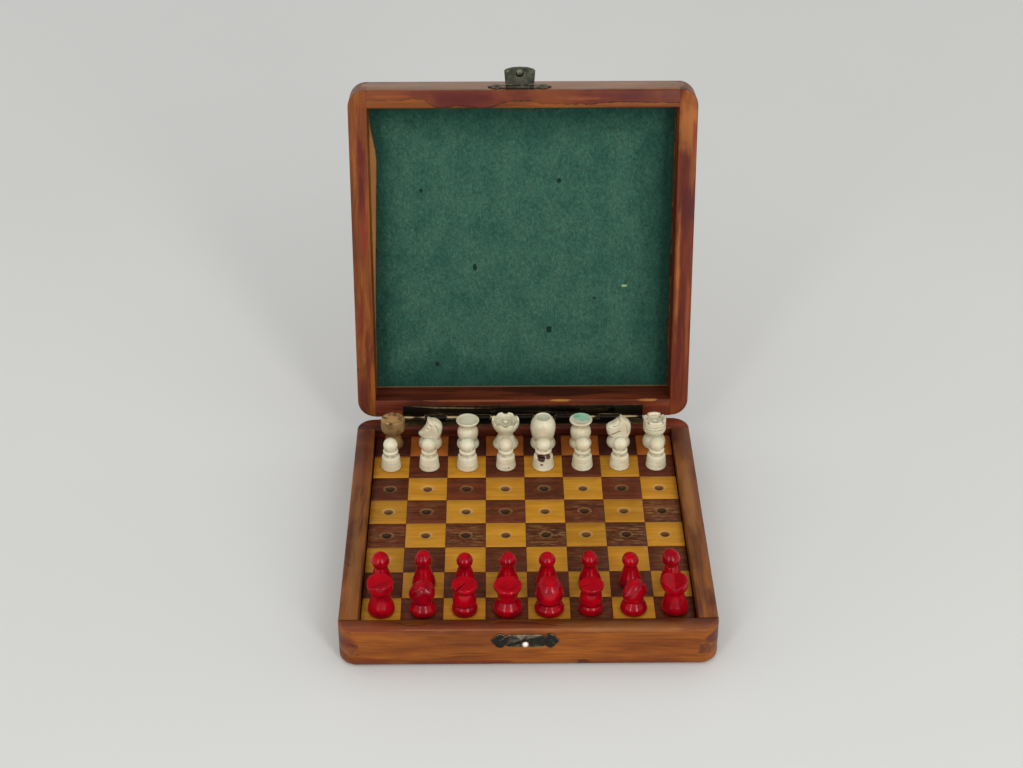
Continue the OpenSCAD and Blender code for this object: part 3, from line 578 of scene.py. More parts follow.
@dataclass(frozen=True)
class Bone:
    """Turned, polished bone that has yellowed, with painted shade in its grooves and cuts and dirt in its fine pores.
    """

    name: str
    pale: Triple = (216, 208, 180)
    aged: Triple = (202, 190, 158)
    cool: Triple = (190, 194, 164)
    dirt_and_shade: Triple = (104, 88, 56)
    groove_shade_share: float = 0.7
    stains: tuple[Stain, ...] = ()
    cut_shade: Triple = (48, 36, 20)

    def make(self) -> Material:
        """Builds the material."""
        g = Graph(self.name)
        place = g.place()
        color = g.mix(g.smooth(g.noise(place, 0.16, 3, 0.55), 0.4, 0.62), self.pale, self.aged)
        cool = g.smooth(g.noise(place, 0.11, move=(3.41, 0.77, 0.33)), 0.52, 0.66)
        color = g.mix(g.times(cool, 0.45), color, self.cool)
        pores = g.smooth(g.noise(place, (3.2, 3.2, 0.8)), 0.69, 0.76)
        color = g.mix(g.times(pores, 0.35), color, self.dirt_and_shade)
        # Painted shade: darker in the grooves of the outline and the knight's cuts, darkest deep in the cuts.
        groove_shade = g.split(g.stored("hollow"))[0]
        patchy = g.smooth(g.noise(place, 0.6, 3), 0.3, 0.62)
        color = g.mix(g.times(groove_shade, patchy, self.groove_shade_share), color, self.dirt_and_shade)
        color = g.mix(g.smooth(groove_shade, 0.78, 1.0, 0.0, 0.8), color, self.cut_shade)
        for stain in self.stains:
            color = stain.over(g, place, color)
        turned = g.noise(place, (0.15, 0.15, 5.5), 3, 0.6)
        height = g.minus(g.times(turned, 0.5), pores)
        return g.shader({"Base Color": color, "Roughness": g.smooth(turned, 0.3, 0.7, 0.3, 0.42),
                         "Normal": g.bump(height, 0.02, 0.5), "Coat Weight": 0.1, "Coat Roughness": 0.2,
                         "Subsurface Weight": 0.12, "Subsurface Radius": (0.002, 0.0014, 0.0009),
                         "Subsurface Scale": 0.6, "Specular IOR Level": 0.35})


@dataclass(frozen=True)
class RedStain:
    """Bone dyed a deep glossy red, painted brighter on its upward faces as if lit from above, with painted shade in the
    grooves.
    """

    name: str
    red: Triple = (162, 1, 18)
    deep: Triple = (126, 1, 18)
    painted_top_light: Triple = (176, 2, 18)
    groove: Triple = (78, 0, 10)

    def make(self) -> Material:
        """Builds the material."""
        g = Graph(self.name)
        place = g.place()
        color = g.mix(g.smooth(g.noise(place, 0.2, 3, 0.6), 0.36, 0.64), self.red, self.deep)
        upward = g.facing(Part.BASE, UPWARD)
        # Painted light: upward faces take a brighter red as if lit from above; they are also rougher.
        top = g.smooth(upward, 0.8, 0.98)
        color = g.mix(g.times(top, 0.5), color, self.painted_top_light)
        # Painted shade: a darker red deep in the grooves and cuts.
        color = g.mix(g.times(g.split(g.stored("hollow"))[0], 0.55), color, self.groove)
        dull = g.plus(g.smooth(g.noise(place, 0.7, 3), 0.35, 0.65, 0.13, 0.2), g.times(top, 0.2))
        return g.shader({"Base Color": color, "Roughness": dull, "Normal": g.bump(g.noise(place, 0.9), 0.015, 0.3),
                         "Specular IOR Level": g.smooth(upward, 0.3, 0.9, 0.26, 0.06),
                         "Subsurface Weight": 0.08, "Subsurface Radius": (0.003, 0.0008, 0.0006),
                         "Subsurface Scale": 0.6})


# ---- Mesh making ----


def shown(name: str, mesh: bpy.types.Mesh) -> Thing:
    """New object in the scene that shows a mesh."""
    thing = bpy.data.objects.new(name, mesh)
    bpy.context.scene.collection.objects.link(thing)
    return thing


def from_points(name: str, points: np.ndarray, faces: Faces) -> Thing:
    """New object from rows of x, y and z and the point numbers of each face."""
    mesh = bpy.data.meshes.new(name)
    mesh.from_pydata(points.tolist(), [], faces)
    mesh.validate()
    return shown(name, mesh)


def quads(number: np.ndarray) -> np.ndarray:
    """Point numbers of each whole cell of a grid of numbers, which are less than 0 where there is no point."""
    cells = np.stack([number[:-1, :-1], number[:-1, 1:], number[1:, 1:], number[1:, :-1]], axis=-1).reshape(-1, 4)
    return cells[cells.min(axis=1) >= 0]


def slab(name: str, lower: np.ndarray, upper: np.ndarray, cells: np.ndarray) -> Thing:
    """Closed solid between two layers of points.

    Args:
        name: Name of the object.
        lower: Points of the first layer.
        upper: Points of the second layer, in the same order.
        cells: Point numbers of the first layer's faces.

    Returns:
        The object.
    """
    count = len(lower)
    first, second = cells.ravel(), np.roll(cells, -1, axis=1).ravel()
    rim = ~np.isin(first * count + second, second * count + first)
    first, second = first[rim], second[rim]
    sides = np.column_stack([second, first, first + count, second + count])
    faces = np.vstack([cells, cells[:, ::-1] + count, sides])
    return from_points(name, np.vstack([lower, upper]), faces.tolist())


def spots_of(thing: Thing) -> np.ndarray:
    """Places of an object's vertices, one row each."""
    spots = np.empty(len(thing.data.vertices) * 3)
    thing.data.vertices.foreach_get("co", spots)
    return spots.reshape(-1, 3)


def move_spots(thing: Thing, spots: np.ndarray) -> None:
    """Puts an object's vertices at new places."""
    thing.data.vertices.foreach_set("co", spots.ravel())
    thing.data.update()


def remember(thing: Thing, name: str, values: np.ndarray) -> None:
    """Stores a row of three numbers on each vertex under a name."""
    layer = thing.data.attributes.new(name, "FLOAT_VECTOR", "POINT")
    layer.data.foreach_set("vector", np.asarray(values, dtype=np.float32).ravel())


@contextmanager
def edited(mesh: bpy.types.Mesh) -> Iterator[bmesh.types.BMesh]:
    """Opens a mesh for editing and writes it back at the end."""
    work = bmesh.new()
    work.from_mesh(mesh)
    yield work
    work.to_mesh(mesh)
    work.free()


def modify(thing: Thing, kind: str, **settings: object) -> None:
    """Adds a modifier with these settings."""
    modifier = thing.modifiers.new(kind.lower(), kind)
    for key, value in settings.items():
        setattr(modifier, key, value)


def settle(thing: Thing) -> None:
    """Bakes an object's modifiers into its mesh."""
    graph = bpy.context.evaluated_depsgraph_get()
    mesh = bpy.data.meshes.new_from_object(thing.evaluated_get(graph))
    old = thing.data
    thing.modifiers.clear()
    thing.data = mesh
    bpy.data.meshes.remove(old)


def cad_copy(node: str, name: str) -> Thing:
    """Copy of a CAD node in millimetres, its flat faces whole again.

    Args:
        node: Name of the CAD node.
        name: Name of the copy.

    Returns:
        The copy.
    """
    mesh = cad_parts[node].data.copy()
    mesh.name = name
    mesh.materials.clear()
    mesh.transform(Matrix.Scale(1 / MM, 4))
    with edited(mesh) as work:
        bmesh.ops.remove_doubles(work, verts=work.verts, dist=0.002)
        bmesh.ops.dissolve_limit(work, angle_limit=math.radians(0.8), verts=work.verts, edges=work.edges)
    return shown(name, mesh)


def rounded(thing: Thing, wide: float, fine: float, is_wide: Callable[[Vector], bool], sharp: float = 25.0) -> None:
    """Rounds an object's sharp edges, never lets it grow, and stores where its edges have been rubbed.

    Args:
        thing: Object in millimetres.
        wide: Width of the wide rounding.
        fine: Width of the rounding elsewhere.
        is_wide: Says whether the edge with this middle gets the wide rounding.
        sharp: Least angle of an edge that is rounded, in degrees.
    """
    with edited(thing.data) as work:
        weights = work.edges.layers.float.new("bevel_weight_edge")
        for edge in work.edges:
            if edge.is_manifold and edge.calc_face_angle(0.0) > math.radians(sharp):
                middle = (edge.verts[0].co + edge.verts[1].co) / 2
                edge[weights] = 1.0 if is_wide(middle) else fine / wide
    modify(thing, "BEVEL", limit_method="WEIGHT", width=wide, segments=3, use_clamp_overlap=False,
           miter_outer="MITER_ARC")
    before = spots_of(thing)
    settle(thing)
    move_spots(thing, np.clip(spots_of(thing), before.min(axis=0), before.max(axis=0)))
    with edited(thing.data) as work:
        turns = [max((edge.calc_face_angle(0.0) for edge in vertex.link_edges), default=0.0) for vertex in work.verts]
    remember(thing, "edge", np.repeat(np.array(turns) > math.radians(22), 3))


def dress(thing: Thing, material: Material, body: str, node: str, angle: float,
          move: Matrix = Matrix.Identity(4)) -> None:
    """Moves a finished mesh to its place in metres, dresses it and ties it to the frame.

    Args:
        thing: The piece, in millimetres.
        material: Its finish.
        body: CAD body that it rides on.
        node: CAD node that it replaces.
        angle: Edges sharper than this stay sharp, in degrees.
        move: Its move in millimetres.
    """
    thing.data.shade_smooth()
    thing.data.set_sharp_from_angle(angle=math.radians(angle))
    thing.data.transform(Matrix.Scale(MM, 4) @ move)
    thing.data.update()
    thing.data.materials.clear()
    thing.data.materials.append(material)
    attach(thing, body)
    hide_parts(node)
    LOG.info("%s: %d faces on %s", thing.name, len(thing.data.polygons), body)


def eased(corners: Sequence[Triple], steps: int = 6) -> list[Point]:
    """Line through corners, each cut back by its own softness and rounded.

    Args:
        corners: Place along both axes and softness of each corner.
        steps: Points on each rounding.

    Returns:
        The points of the line.
    """
    line: list[Point] = []
    for index, (across, up, soft) in enumerate(corners):
        if soft <= 0 or index in (0, len(corners) - 1):
            line.append((across, up))
            continue
        here = Vector((across, up))
        before, after = (Vector(corners[index + side][:2]) - here for side in (-1, 1))
        start, end = (here + way.normalized() * min(soft, way.length * 0.48) for way in (before, after))
        for step in range(steps + 1):
            share = step / steps
            line.append(tuple(start.lerp(here, share).lerp(here.lerp(end, share), share)))
    return line


def ball(radius: float, middle: float, neck: float, steps: int = 18) -> list[Triple]:
    """Round head on a neck, as corners from the neck up to its top."""
    start = -math.acos(neck / radius)
    turns = [start + (math.pi / 2 - start) * step / steps for step in range(steps + 1)]
    return [(max(radius * math.cos(a), 0.0), middle + radius * math.sin(a), 0.0) for a in turns]


@dataclass
class Turning:
    """A solid turned on a lathe, drawn as the right half of its outline from the foot up."""

    corners: Sequence[Triple]
    peg_r: float = 1.3
    peg_len: float = 3.6
    segments: int = 72
    step: float = 0.5
    groove: float = 0.3
    most_groove_shade: float = 0.75

    def outline(self) -> np.ndarray:
        """Points of the outline from the tip of the peg to the top, no further apart than the step."""
        peg = [(0.0, -self.peg_len, 0.0), (self.peg_r, -self.peg_len, 0.35), (self.peg_r, 0.0, 0.0)]
        line = eased([*peg, *self.corners])
        dense = line[:1]
        for spot in line[1:]:
            start, gap = dense[-1], math.dist(dense[-1], spot)
            if gap >= 1e-4:
                count = math.ceil(gap / self.step)
                dense += [tuple(a + (b - a) * n / count for a, b in zip(start, spot)) for n in range(1, count + 1)]
        return np.array(dense)

    def build(self, name: str) -> Thing:
        """Turns the solid.

        Args:
            name: Name of the object.

        Returns:
            The object, in millimetres, its axis upright at the origin.
        """
        line = self.outline()
        rings = line[line[:, 0] > 1e-3]
        turns = np.arange(self.segments) * (2 * math.pi / self.segments)
        around = np.column_stack([np.cos(turns), np.sin(turns), np.ones(self.segments)])
        points = (rings[:, [0, 0, 1]][:, None] * around).reshape(-1, 3)
        points = np.vstack([(0, 0, line[0, 1]), points, (0, 0, line[-1, 1])])
        number = np.arange(1, len(points) - 1).reshape(-1, self.segments)
        number = np.column_stack([number, number[:, 0]])
        foot, top, last = number[0].tolist(), number[-1].tolist(), len(points) - 1
        faces = [*quads(number).tolist(), *((0, b, a) for a, b in zip(foot, foot[1:])),
                 *((a, b, last) for a, b in zip(top, top[1:]))]
        return from_points(name, points, faces)

    def mark_hollows(self, thing: Thing, dirt_and_shade: np.ndarray | float) -> None:
        """Stores on each vertex how deep in a groove of the outline it lies, for the painted shade in the grooves.

        Args:
            thing: The turned piece in millimetres, its axis upright at the origin.
            dirt_and_shade: Shares of painted shade already known, from grooves cut by hand.
        """
        line = self.outline()
        steps = np.diff(line, axis=0)
        turn = np.zeros(len(line))
        cross = steps[:-1, 0] * steps[1:, 1] - steps[:-1, 1] * steps[1:, 0]
        turn[1:-1] = np.arctan2(cross, (steps[:-1] * steps[1:]).sum(axis=1))
        run = np.concatenate([[0], np.cumsum(np.linalg.norm(steps, axis=1))])
        near = np.exp(-((run[:, None] - run) / self.groove) ** 2)
        hollow = np.clip(-(near * turn).sum(axis=1) * 0.9, 0, self.most_groove_shade)
        spots = spots_of(thing)
        flat = np.column_stack([np.hypot(spots[:, 0], spots[:, 1]), spots[:, 2]])
        nearest = [((some[:, None] - line) ** 2).sum(axis=2).argmin(axis=1)
                   for some in np.array_split(flat, len(flat) // 4000 + 1)]
        remember(thing, "hollow", np.repeat(np.maximum(hollow[np.concatenate(nearest)], dirt_and_shade), 3))


@dataclass(frozen=True)
class Cut:
    """A block or a rod that is cut out of a chessman, once or several times about its axis."""

    size: Triple
    place: Matrix
    first: float = 0.0
    count: int = 1
    is_rod: bool = False

    def cutters(self) -> list[Thing]:
        """Makes the cutters, used only to carve and then thrown away."""
        made = []
        for n in range(self.count):
            turn = Matrix.Rotation(math.radians(self.first + 360 / self.count * n), 4, "Z")
            mesh = bpy.data.meshes.new("cutter")
            with edited(mesh) as work:
                if self.is_rod:
                    bmesh.ops.create_cone(work, segments=40, radius1=1.0, radius2=1.0, depth=1.0, cap_ends=True)
                else:
                    bmesh.ops.create_cube(work, size=1.0)
                spread = Matrix.Diagonal((*self.size, 1))
                bmesh.ops.transform(work, matrix=turn @ self.place @ spread, verts=work.verts)
            made.append(shown("cutter", mesh))
        return made


def carve(thing: Thing, cutters: Sequence[Thing], voxel: float = 0.13, rounds: int = 3) -> None:
    """Cuts shapes out of a piece and wears its edges soft.

    Args:
        thing: Piece in millimetres.
        cutters: What is cut away; each is deleted.
        voxel: Size of the new mesh's faces.
        rounds: How often the surface is smoothed.
    """
    for cutter in cutters:
        modify(thing, "BOOLEAN", operation="DIFFERENCE", solver="EXACT", object=cutter)
    modify(thing, "REMESH", mode="VOXEL", voxel_size=voxel)
    modify(thing, "SMOOTH", factor=0.5, iterations=rounds)
    settle(thing)
    for cutter in cutters:
        bpy.data.objects.remove(cutter)


def inside_of(points: np.ndarray, outline: np.ndarray) -> np.ndarray:
    """Says which points lie inside a closed outline.

    Args:
        points: Rows of two values.
        outline: Corners of the outline.

    Returns:
        True for each point inside.
    """
    result = np.zeros(len(points), dtype=bool)
    for (x1, y1), (x2, y2) in zip(outline, np.roll(outline, -1, axis=0)):
        if y1 != y2:
            crosses = (points[:, 1] < y1) != (points[:, 1] < y2)
            result ^= crosses & (points[:, 0] < x1 + (points[:, 1] - y1) * (x2 - x1) / (y2 - y1))
    return result


def gap_to(points: np.ndarray, line: np.ndarray) -> np.ndarray:
    """Distance from each point to a chain of segments.

    Args:
        points: Rows of two values.
        line: Points of the chain.

    Returns:
        The distances.
    """
    best = np.full(len(points), np.inf)
    for start, along in zip(line[:-1], np.diff(line, axis=0)):
        share = np.clip(((points - start) @ along) / max(along @ along, 1e-9), 0, 1)
        best = np.minimum(best, np.linalg.norm(points - start - share[:, None] * along, axis=1))
    return best


@dataclass
class HorseHead:
    """A knight's head, cut from a slab: the outline faces left, and cuts are made in both cheeks."""

    corners: Sequence[Triple]
    cuts: Sequence[tuple[Sequence[Point], float, float]]
    muzzle_x: float
    muzzle_share: float = 0.72
    muzzle_len: float = 4.5
    neck_z: float = 4.6
    least: float = 0.15
    thick: float = 5.2
    round_over: float = 1.5
    pitch: float = 0.16

    def build(self) -> Thing:
        """Builds the head as one closed mesh in millimetres."""
        outline = np.array(eased([*self.corners, *self.corners[:2]], 5)[1:-1])
        low, high = outline.min(axis=0), outline.max(axis=0)
        xs, zs = (np.arange(start, end + self.pitch, self.pitch) for start, end in zip(low, high))
        grid = np.array([(x, z) for z, x in product(zs, xs)])
        inner = inside_of(grid, outline)
        number = np.where(inner, np.cumsum(inner) - 1, -1).reshape(len(zs), len(xs))
        grid = grid[inner]
        share = np.clip(gap_to(grid, np.vstack([outline, outline[:1]])) / self.round_over, 0, 1)
        slim = np.clip((grid[:, 0] - self.muzzle_x) / self.muzzle_len, 0, 1)
        slim = self.muzzle_share + (1 - self.muzzle_share) * slim * slim * (3 - 2 * slim)
        half = self.thick / 2 * np.sqrt(1 - (1 - share) ** 2) * slim
        for line, width, deep in self.cuts:
            half -= deep * np.exp(-(gap_to(grid, np.array(line)) / width) ** 2)
        half = np.maximum(half, self.least)
        front, back = (np.column_stack([grid[:, 0], side * half, grid[:, 1]]) for side in (-1, 1))
        return slab("head", front, back, quads(number))

    def groove_shade(self, spots: np.ndarray) -> np.ndarray:
        """How much painted shade lies at each spot, near the cut lines of the cheeks.

        Args:
            spots: Rows of x, y and z in millimetres.

        Returns:
            Shares from 0 to 1.
        """
        share = np.zeros(len(spots))
        for line, width, deep in self.cuts:
            near = np.exp(-(gap_to(spots[:, [0, 2]], np.array(line)) / (width * 0.8)) ** 2)
            share = np.maximum(share, near * min(1.0, 1.3 * deep + 0.25))
        return share * (spots[:, 2] > self.neck_z)


# ---- The box ----


@dataclass
class Walls:
    """The four finger-jointed walls and the panel of one half of the box."""

    part: Part
    finishes: dict[str, Wood]
    panel_node: str
    panel: Wood
    worn: float = 0.6
    seam: float = 0.04

    def on_rim_line(self, spot: Vector) -> bool:
        """Says whether an edge lies along the inner or outer line of the rim.

        Args:
            spot: Middle of the edge, in millimetres, with the box shut.

        Returns:
            True for a rim edge, which hands have worn round.
        """
        if abs(spot.z - (BASE_H if self.part is Part.BASE else LID_Z)) > 0.05:
            return False
        side, end, near, corner_len, finger_len = BOX_W / 2, BOX_D / 2, 0.06, 6.9, 7.6
        across, deep = abs(spot.x), abs(spot.y)
        if across < side - corner_len and deep > end - 0.1 and (spot.y > 0 or across > side - finger_len):
            return False
        inner = abs(across - (side - WALL)) < near and deep < end - WALL
        inner |= abs(deep - (end - WALL)) < near and across < side - WALL
        out_x, out_y = across - (side - CORNER_R), deep - (end - CORNER_R)
        if out_x > 0 and out_y > 0:
            return math.hypot(out_x, out_y) > CORNER_R - 0.3
        return inner or across > side - near or deep > end - near

    def part_at_joints(self, wall: Thing) -> None:
        """Cuts the long rim edges where two walls meet, so that a joint isn't worn as a free edge is."""
        with edited(wall.data) as work:
            for sign in (-1, 1):
                bmesh.ops.bisect_plane(work, geom=[*work.verts, *work.edges, *work.faces], dist=0.001,
                                       plane_co=(0, sign * (BOX_D / 2 - WALL), 0), plane_no=(0, 1, 0))

    def build(self) -> None:
        """Builds the walls and the panel."""
        body, opened = self.part.value, self.part.turn
        for side, finish in self.finishes.items():
            node = f"{body}_{side}"
            wall = cad_copy(node, f"{node}_wall")
            wall.data.transform(opened.inverted())
            if self.part is Part.LID:
                self.part_at_joints(wall)
            rounded(wall, self.worn, self.seam, self.on_rim_line)
            dress(wall, finish.make(), body, node, 35, opened)
        panel = cad_copy(self.panel_node, f"{self.panel_node}_board")
        panel.data.transform(opened.inverted())
        rounded(panel, 0.25, 0.12, lambda spot: False)
        dress(panel, self.panel.make(), body, self.panel_node, 35, opened)


@dataclass
class Board:
    """The playing board: a drilled core, 64 veneer squares and the strips that carry it."""

    pitch: float = 15.78
    width: float = 124.1
    front: float = -62.0
    back: float = 63.3
    top: float = 12.7
    veneer: float = 0.6
    joint: float = 0.12
    hole_r: float = 1.75
    rim: float = 0.3
    soft: float = 0.07
    uneven: float = 0.05
    segments: int = 40
    free_ranks: tuple[int, ...] = (3, 4, 5, 6)
    torn: tuple[tuple[int, int, float], ...] = (
        (1, 4, 0.55), (3, 4, 0.95), (5, 4, 1.0), (7, 4, 1.0), (8, 5, 0.95), (6, 5, 0.5), (4, 5, 0.35), (2, 5, 0.3),
        (2, 3, 0.3), (4, 3, 0.3), (6, 3, 0.35), (8, 3, 0.45), (5, 6, 0.2), (4, 1, 0.35), (6, 1, 0.4))

    def hole(self, column: int, row: int) -> np.ndarray:
        """Middle of the peg hole of a square, counted from 1 at the front left."""
        across = (column - 4.5) * self.pitch
        if column in (1, 8):
            across = math.copysign((3 * self.pitch + self.width / 2) / 2, across)
        return np.array([across, self.front + (row - 0.5) * self.pitch])

    def edges(self, column: int, row: int) -> np.ndarray:
        """Left and front edge of a square, then its right and back edge."""
        half, gap = self.width / 2, self.joint / 2
        (left, near), (right, far) = (((column - 4 - n) * self.pitch, self.front + (row - n) * self.pitch)
                                      for n in (1, 0))
        return np.array([(max(left, -half) + gap, near + gap), (min(right, half) - gap, min(far, self.back) - gap)])

    def square(self, column: int, row: int, chance: float) -> np.ndarray:
        """One veneer square with its worn countersunk hole and softly broken edges.

        Args:
            column: File, from 1 at the left.
            row: Rank, from 1 at the front.
            chance: Number from 0 to 1 that sets how high the square lies.

        Returns:
            Its points, ring by ring from the hole's foot out and down to the square's foot.
        """
        middle, (low, high) = self.hole(column, row), self.edges(column, row)
        level, foot = self.top - self.uneven * chance, self.top - self.veneer
        turns = np.arange(self.segments) * (2 * math.pi / self.segments)
        way = np.column_stack([np.cos(turns), np.sin(turns)])
        reach = (np.abs(np.where(way > 0, high, low) - middle) / np.maximum(np.abs(way), 1e-9)).min(axis=1)
        outer = middle + way * reach[:, None]
        for corner in product((low[0], high[0]), (low[1], high[1])):
            outer[np.linalg.norm(outer - corner, axis=1).argmin()] = corner
        rings = [(middle + way * (self.hole_r + out * self.rim), up) for out, up in (
            (0, foot), (0, level - self.rim), (0.35, level - 0.5 * self.rim), (1, level - 0.12), (1.7, level))]
        rings += [(np.clip(outer, low + inset, high - inset), up) for inset, up in (
            (self.soft, level), (0, level - self.soft), (0, foot))]
        return np.vstack([np.column_stack([ring, np.full(self.segments, up)]) for ring, up in rings])

    def build_squares(self, light: bool, finish: Veneer, node: str) -> None:
        """Builds all squares of one colour as one piece.

        Args:
            light: Whether these are the light squares.
            finish: Their veneer.
            node: CAD node that they replace.
        """
        torn = {(file, rank): share for file, rank, share in self.torn}
        points, from_hole, own = [], [], []
        for column, row in product(range(1, 9), repeat=2):
            if ((column + row) % 2 == 0) == light:
                chance = lot(column * 8 + row)
                wear = 0.5 + 0.5 * lot(column * 5 + row * 3) if row in self.free_ranks else 0.0
                points.append(self.square(column, row, chance))
                from_hole.append((points[-1] - (*self.hole(column, row), 0)) * (1, 1, 0))
                own += [(chance, wear, torn.get((column, row), 0.08))] * len(points[-1])
        count = len(points[0])
        number = np.arange(count).reshape(-1, self.segments)
        number = np.vstack([number, number[:1]])
        cells = quads(np.column_stack([number, number[:, 0]]))
        faces = np.vstack([cells + count * n for n in range(len(points))])
        squares = from_points(f"{node}_veneer", np.vstack(points), faces.tolist())
        remember(squares, "from_hole", np.vstack(from_hole))
        remember(squares, "square", np.array(own))
        dress(squares, finish.make(), "base", node, 50)

    def build(self) -> None:
        """Builds the squares and paints the core and the strips."""
        self.build_squares(True, Veneer(
            "light_squares_veneer", pale=(194, 135, 34), deep=(178, 118, 24), rubbed=(186, 160, 112),
            streak=(126, 76, 14), inside=(126, 84, 46), kept=(152, 74, 26), streaks=0.25, figure=0.08),
            "light_squares")
        self.build_squares(False, Veneer(
            "dark_squares_veneer", pale=(104, 44, 17), deep=(74, 27, 9), rubbed=(146, 112, 62),
            streak=(40, 16, 7), inside=(40, 24, 14), kept=(58, 20, 12), streaks=0.85, figure=0.17),
            "dark_squares")
        raw = RawWood("board_core_wood", (140, 100, 62), (88, 60, 41), self.pitch, self.front).make()
        for node in ("board_core", "board_ledges"):
            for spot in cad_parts[node].material_slots:
                spot.material = raw
            LOG.info("%s: painted", node)


@dataclass
class FeltLining:
    """The felt glued inside the lid: a thin matted sheet whose cut edges aren't quite straight."""

    width: float = 124.4
    depth: float = 126.4
    thick: float = 0.75
    least: float = 0.2
    columns: int = 150
    rows: int = 152

    def spot(self, u: float, v: float) -> Triple:
        """One point of the sheet, drawn in at the edge where the scissors or the glue have let it.

        Args:
            u: Share across, from 0 to 1.
            v: Share from the front to the hinge, from 0 to 1.

        Returns:
            Place across, place from front to back, and thickness.
        """
        rise = min(max((v - 0.05) / 0.17, 0.0), 1.0)
        strip = 3.4 * rise * rise * (3 - 2 * rise) * max(1 - v / 0.8, 0.0) ** 1.2
        left, right, front, back = (
            max(0.0, pull + sway * noise.noise(Vector((along, lane, 0)))) for pull, sway, along, lane in (
                (strip, 0.15, v * 14, 1), (0.2, 0.22, v * 12, 5), (0.15, 0.2, u * 13, 9), (0.12, 0.16, u * 12, 13)))
        x = (u - 0.5) * self.width + left * (1 - u) ** 6 - right * u ** 8
        y = (v - 0.5) * self.depth + front * (1 - v) ** 8 - back * v ** 8
        lump = noise.fractal(Vector((x * 0.09, y * 0.09, 3)), 0.7, 2.1, 4)
        swell = min(min(u, 1 - u, v, 1 - v) * self.width / 1.2, 1.0) ** 0.5
        height = self.thick * (0.55 + 0.25 * swell) + 0.11 * lump * swell
        return x, y, min(max(height, self.least), self.thick)

    def build(self) -> None:
        """Builds the sheet and lays it on the lid's panel."""
        under = (0, 0, LID_Z + LID_H - PANEL_T)
        sheet = np.array([self.spot(column / self.columns, row / self.rows)
                          for row, column in product(range(self.rows + 1), range(self.columns + 1))])
        cells = quads(np.arange(len(sheet)).reshape(self.rows + 1, -1))
        felt = slab("felt_sheet", sheet * (1, 1, 0) + under, sheet * (1, 1, -1) + under, cells)
        dress(felt, Felt().make(), "lid", "felt_lining", 60, Part.LID.turn)


@dataclass
class Fittings:
    """The hinge and the latch: worn copies of the brasswork, their edges broken."""

    leaf_edge: float = 0.08
    nail_edge: float = 0.06
    plate_edge: float = 0.14
    hasp_plate_edge: float = 0.12

    def build(self) -> None:
        """Replaces each fitting by a copy with rounded edges."""
        # Painted highlights: pale brass streaks along the hinge barrel.
        rubbed = tuple(Stain((x, 70.8, 17.4), (long, 0.6, 0.6), (196, 170, 124), 0.9, 0.4, 0.5, 0.6)
                       for x, long in ((-49.0, 4.0), (-39.0, 6.0), (-30.0, 7.0), (-14.0, 4.0), (-3.5, 3.0),
                                       (5.0, 4.0), (26.0, 6.0), (43.5, 6.0)))
        # Painted highlight: a near-white glint on the stud's ball.
        glint = Stain((0, -74.5, 9.0), (6, 1.75, 6), (240, 224, 214), 1.0, 0.0, soft=0.1)
        # Painted light: a pale grey-green oval in the dished hollow of the hasp tongue's boss.
        painted_boss_light = Stain((-1.3, 96.0, 163.6), (2.1, 5.0, 1.5), (138, 142, 120), 0.75, 0.3, 0.6, 0.6)
        hinge = dict(skin=(34, 26, 18), metal=(190, 158, 110), green=(28, 26, 18), edge=0.35, spots=rubbed)
        latch = dict(skin=(46, 40, 33), metal=(158, 142, 120), green=(34, 32, 28))
        hasp = dict(skin=(46, 45, 37), metal=(134, 128, 104), green=(70, 72, 59))
        hinge_nail = AgedMetal("hinge_nail_brass", rubbed=0.6, **hinge)
        for node, body, slot, width, metal in (
                ("hinge_base_leaf", "base", "hinge_metal", self.leaf_edge,
                 AgedMetal("hinge_base_brass", rubbed=0.2, **hinge)),
                ("hinge_lid_leaf", "lid", "hinge_metal", self.leaf_edge,
                 AgedMetal("hinge_lid_brass", rubbed=0.2, part=Part.LID, **hinge)),
                ("hinge_pin", "base", "pin_metal", self.leaf_edge, AgedMetal("hinge_pin_brass", rubbed=0.5, **hinge)),
                ("hinge_base_nails", "base", "nail_metal", self.nail_edge, hinge_nail),
                ("hinge_lid_nails", "lid", "nail_metal", self.nail_edge, hinge_nail),
                ("latch_plate", "base", "latch_metal", self.plate_edge,
                 AgedMetal("latch_plate_metal", rubbed=0.05, edge=0.9, dull=0.12, **latch)),
                ("latch_nails", "base", "nail_metal", self.nail_edge,
                 AgedMetal("latch_nail_metal", rubbed=0.4, **latch)),
                ("latch_stud", "base", "stud_metal", self.leaf_edge,
                 AgedMetal("latch_stud_metal", (58, 48, 40), (150, 128, 98), (40, 34, 28), 0.2, shine=0.7,
                           spots=(glint,))),
                ("hasp_plate", "lid", "latch_metal", self.hasp_plate_edge,
                 AgedMetal("hasp_plate_metal", (40, 38, 30), green=(50, 50, 40), rubbed=0.1, part=Part.LID,
                           edge=0.75)),
                ("hasp_plate_nails", "lid", "nail_metal", self.nail_edge,
                 AgedMetal("hasp_nail_metal", rubbed=0.4, **hasp)),
                ("hasp_pin", "lid", "pin_metal", self.nail_edge, AgedMetal("hasp_pin_metal", rubbed=0.5, **hasp)),
                ("hasp_tongue", "hasp", "latch_metal", self.plate_edge,
                 AgedMetal("hasp_tongue_metal", rubbed=0.35, spots=(painted_boss_light,), **hasp))):
            copy = cad_copy(node, f"{node}_worn")
            rounded(copy, width, width, lambda spot: True, 30)
            dress(copy, metal.make(), body, node, 40)


# ---- Chessmen ----


class Stock(Enum):
    """What a chessman is turned from; the value is its material slot."""

    WHITE = "white_pieces"
    BROWN = "brown_rook"
    RED = "red_pieces"


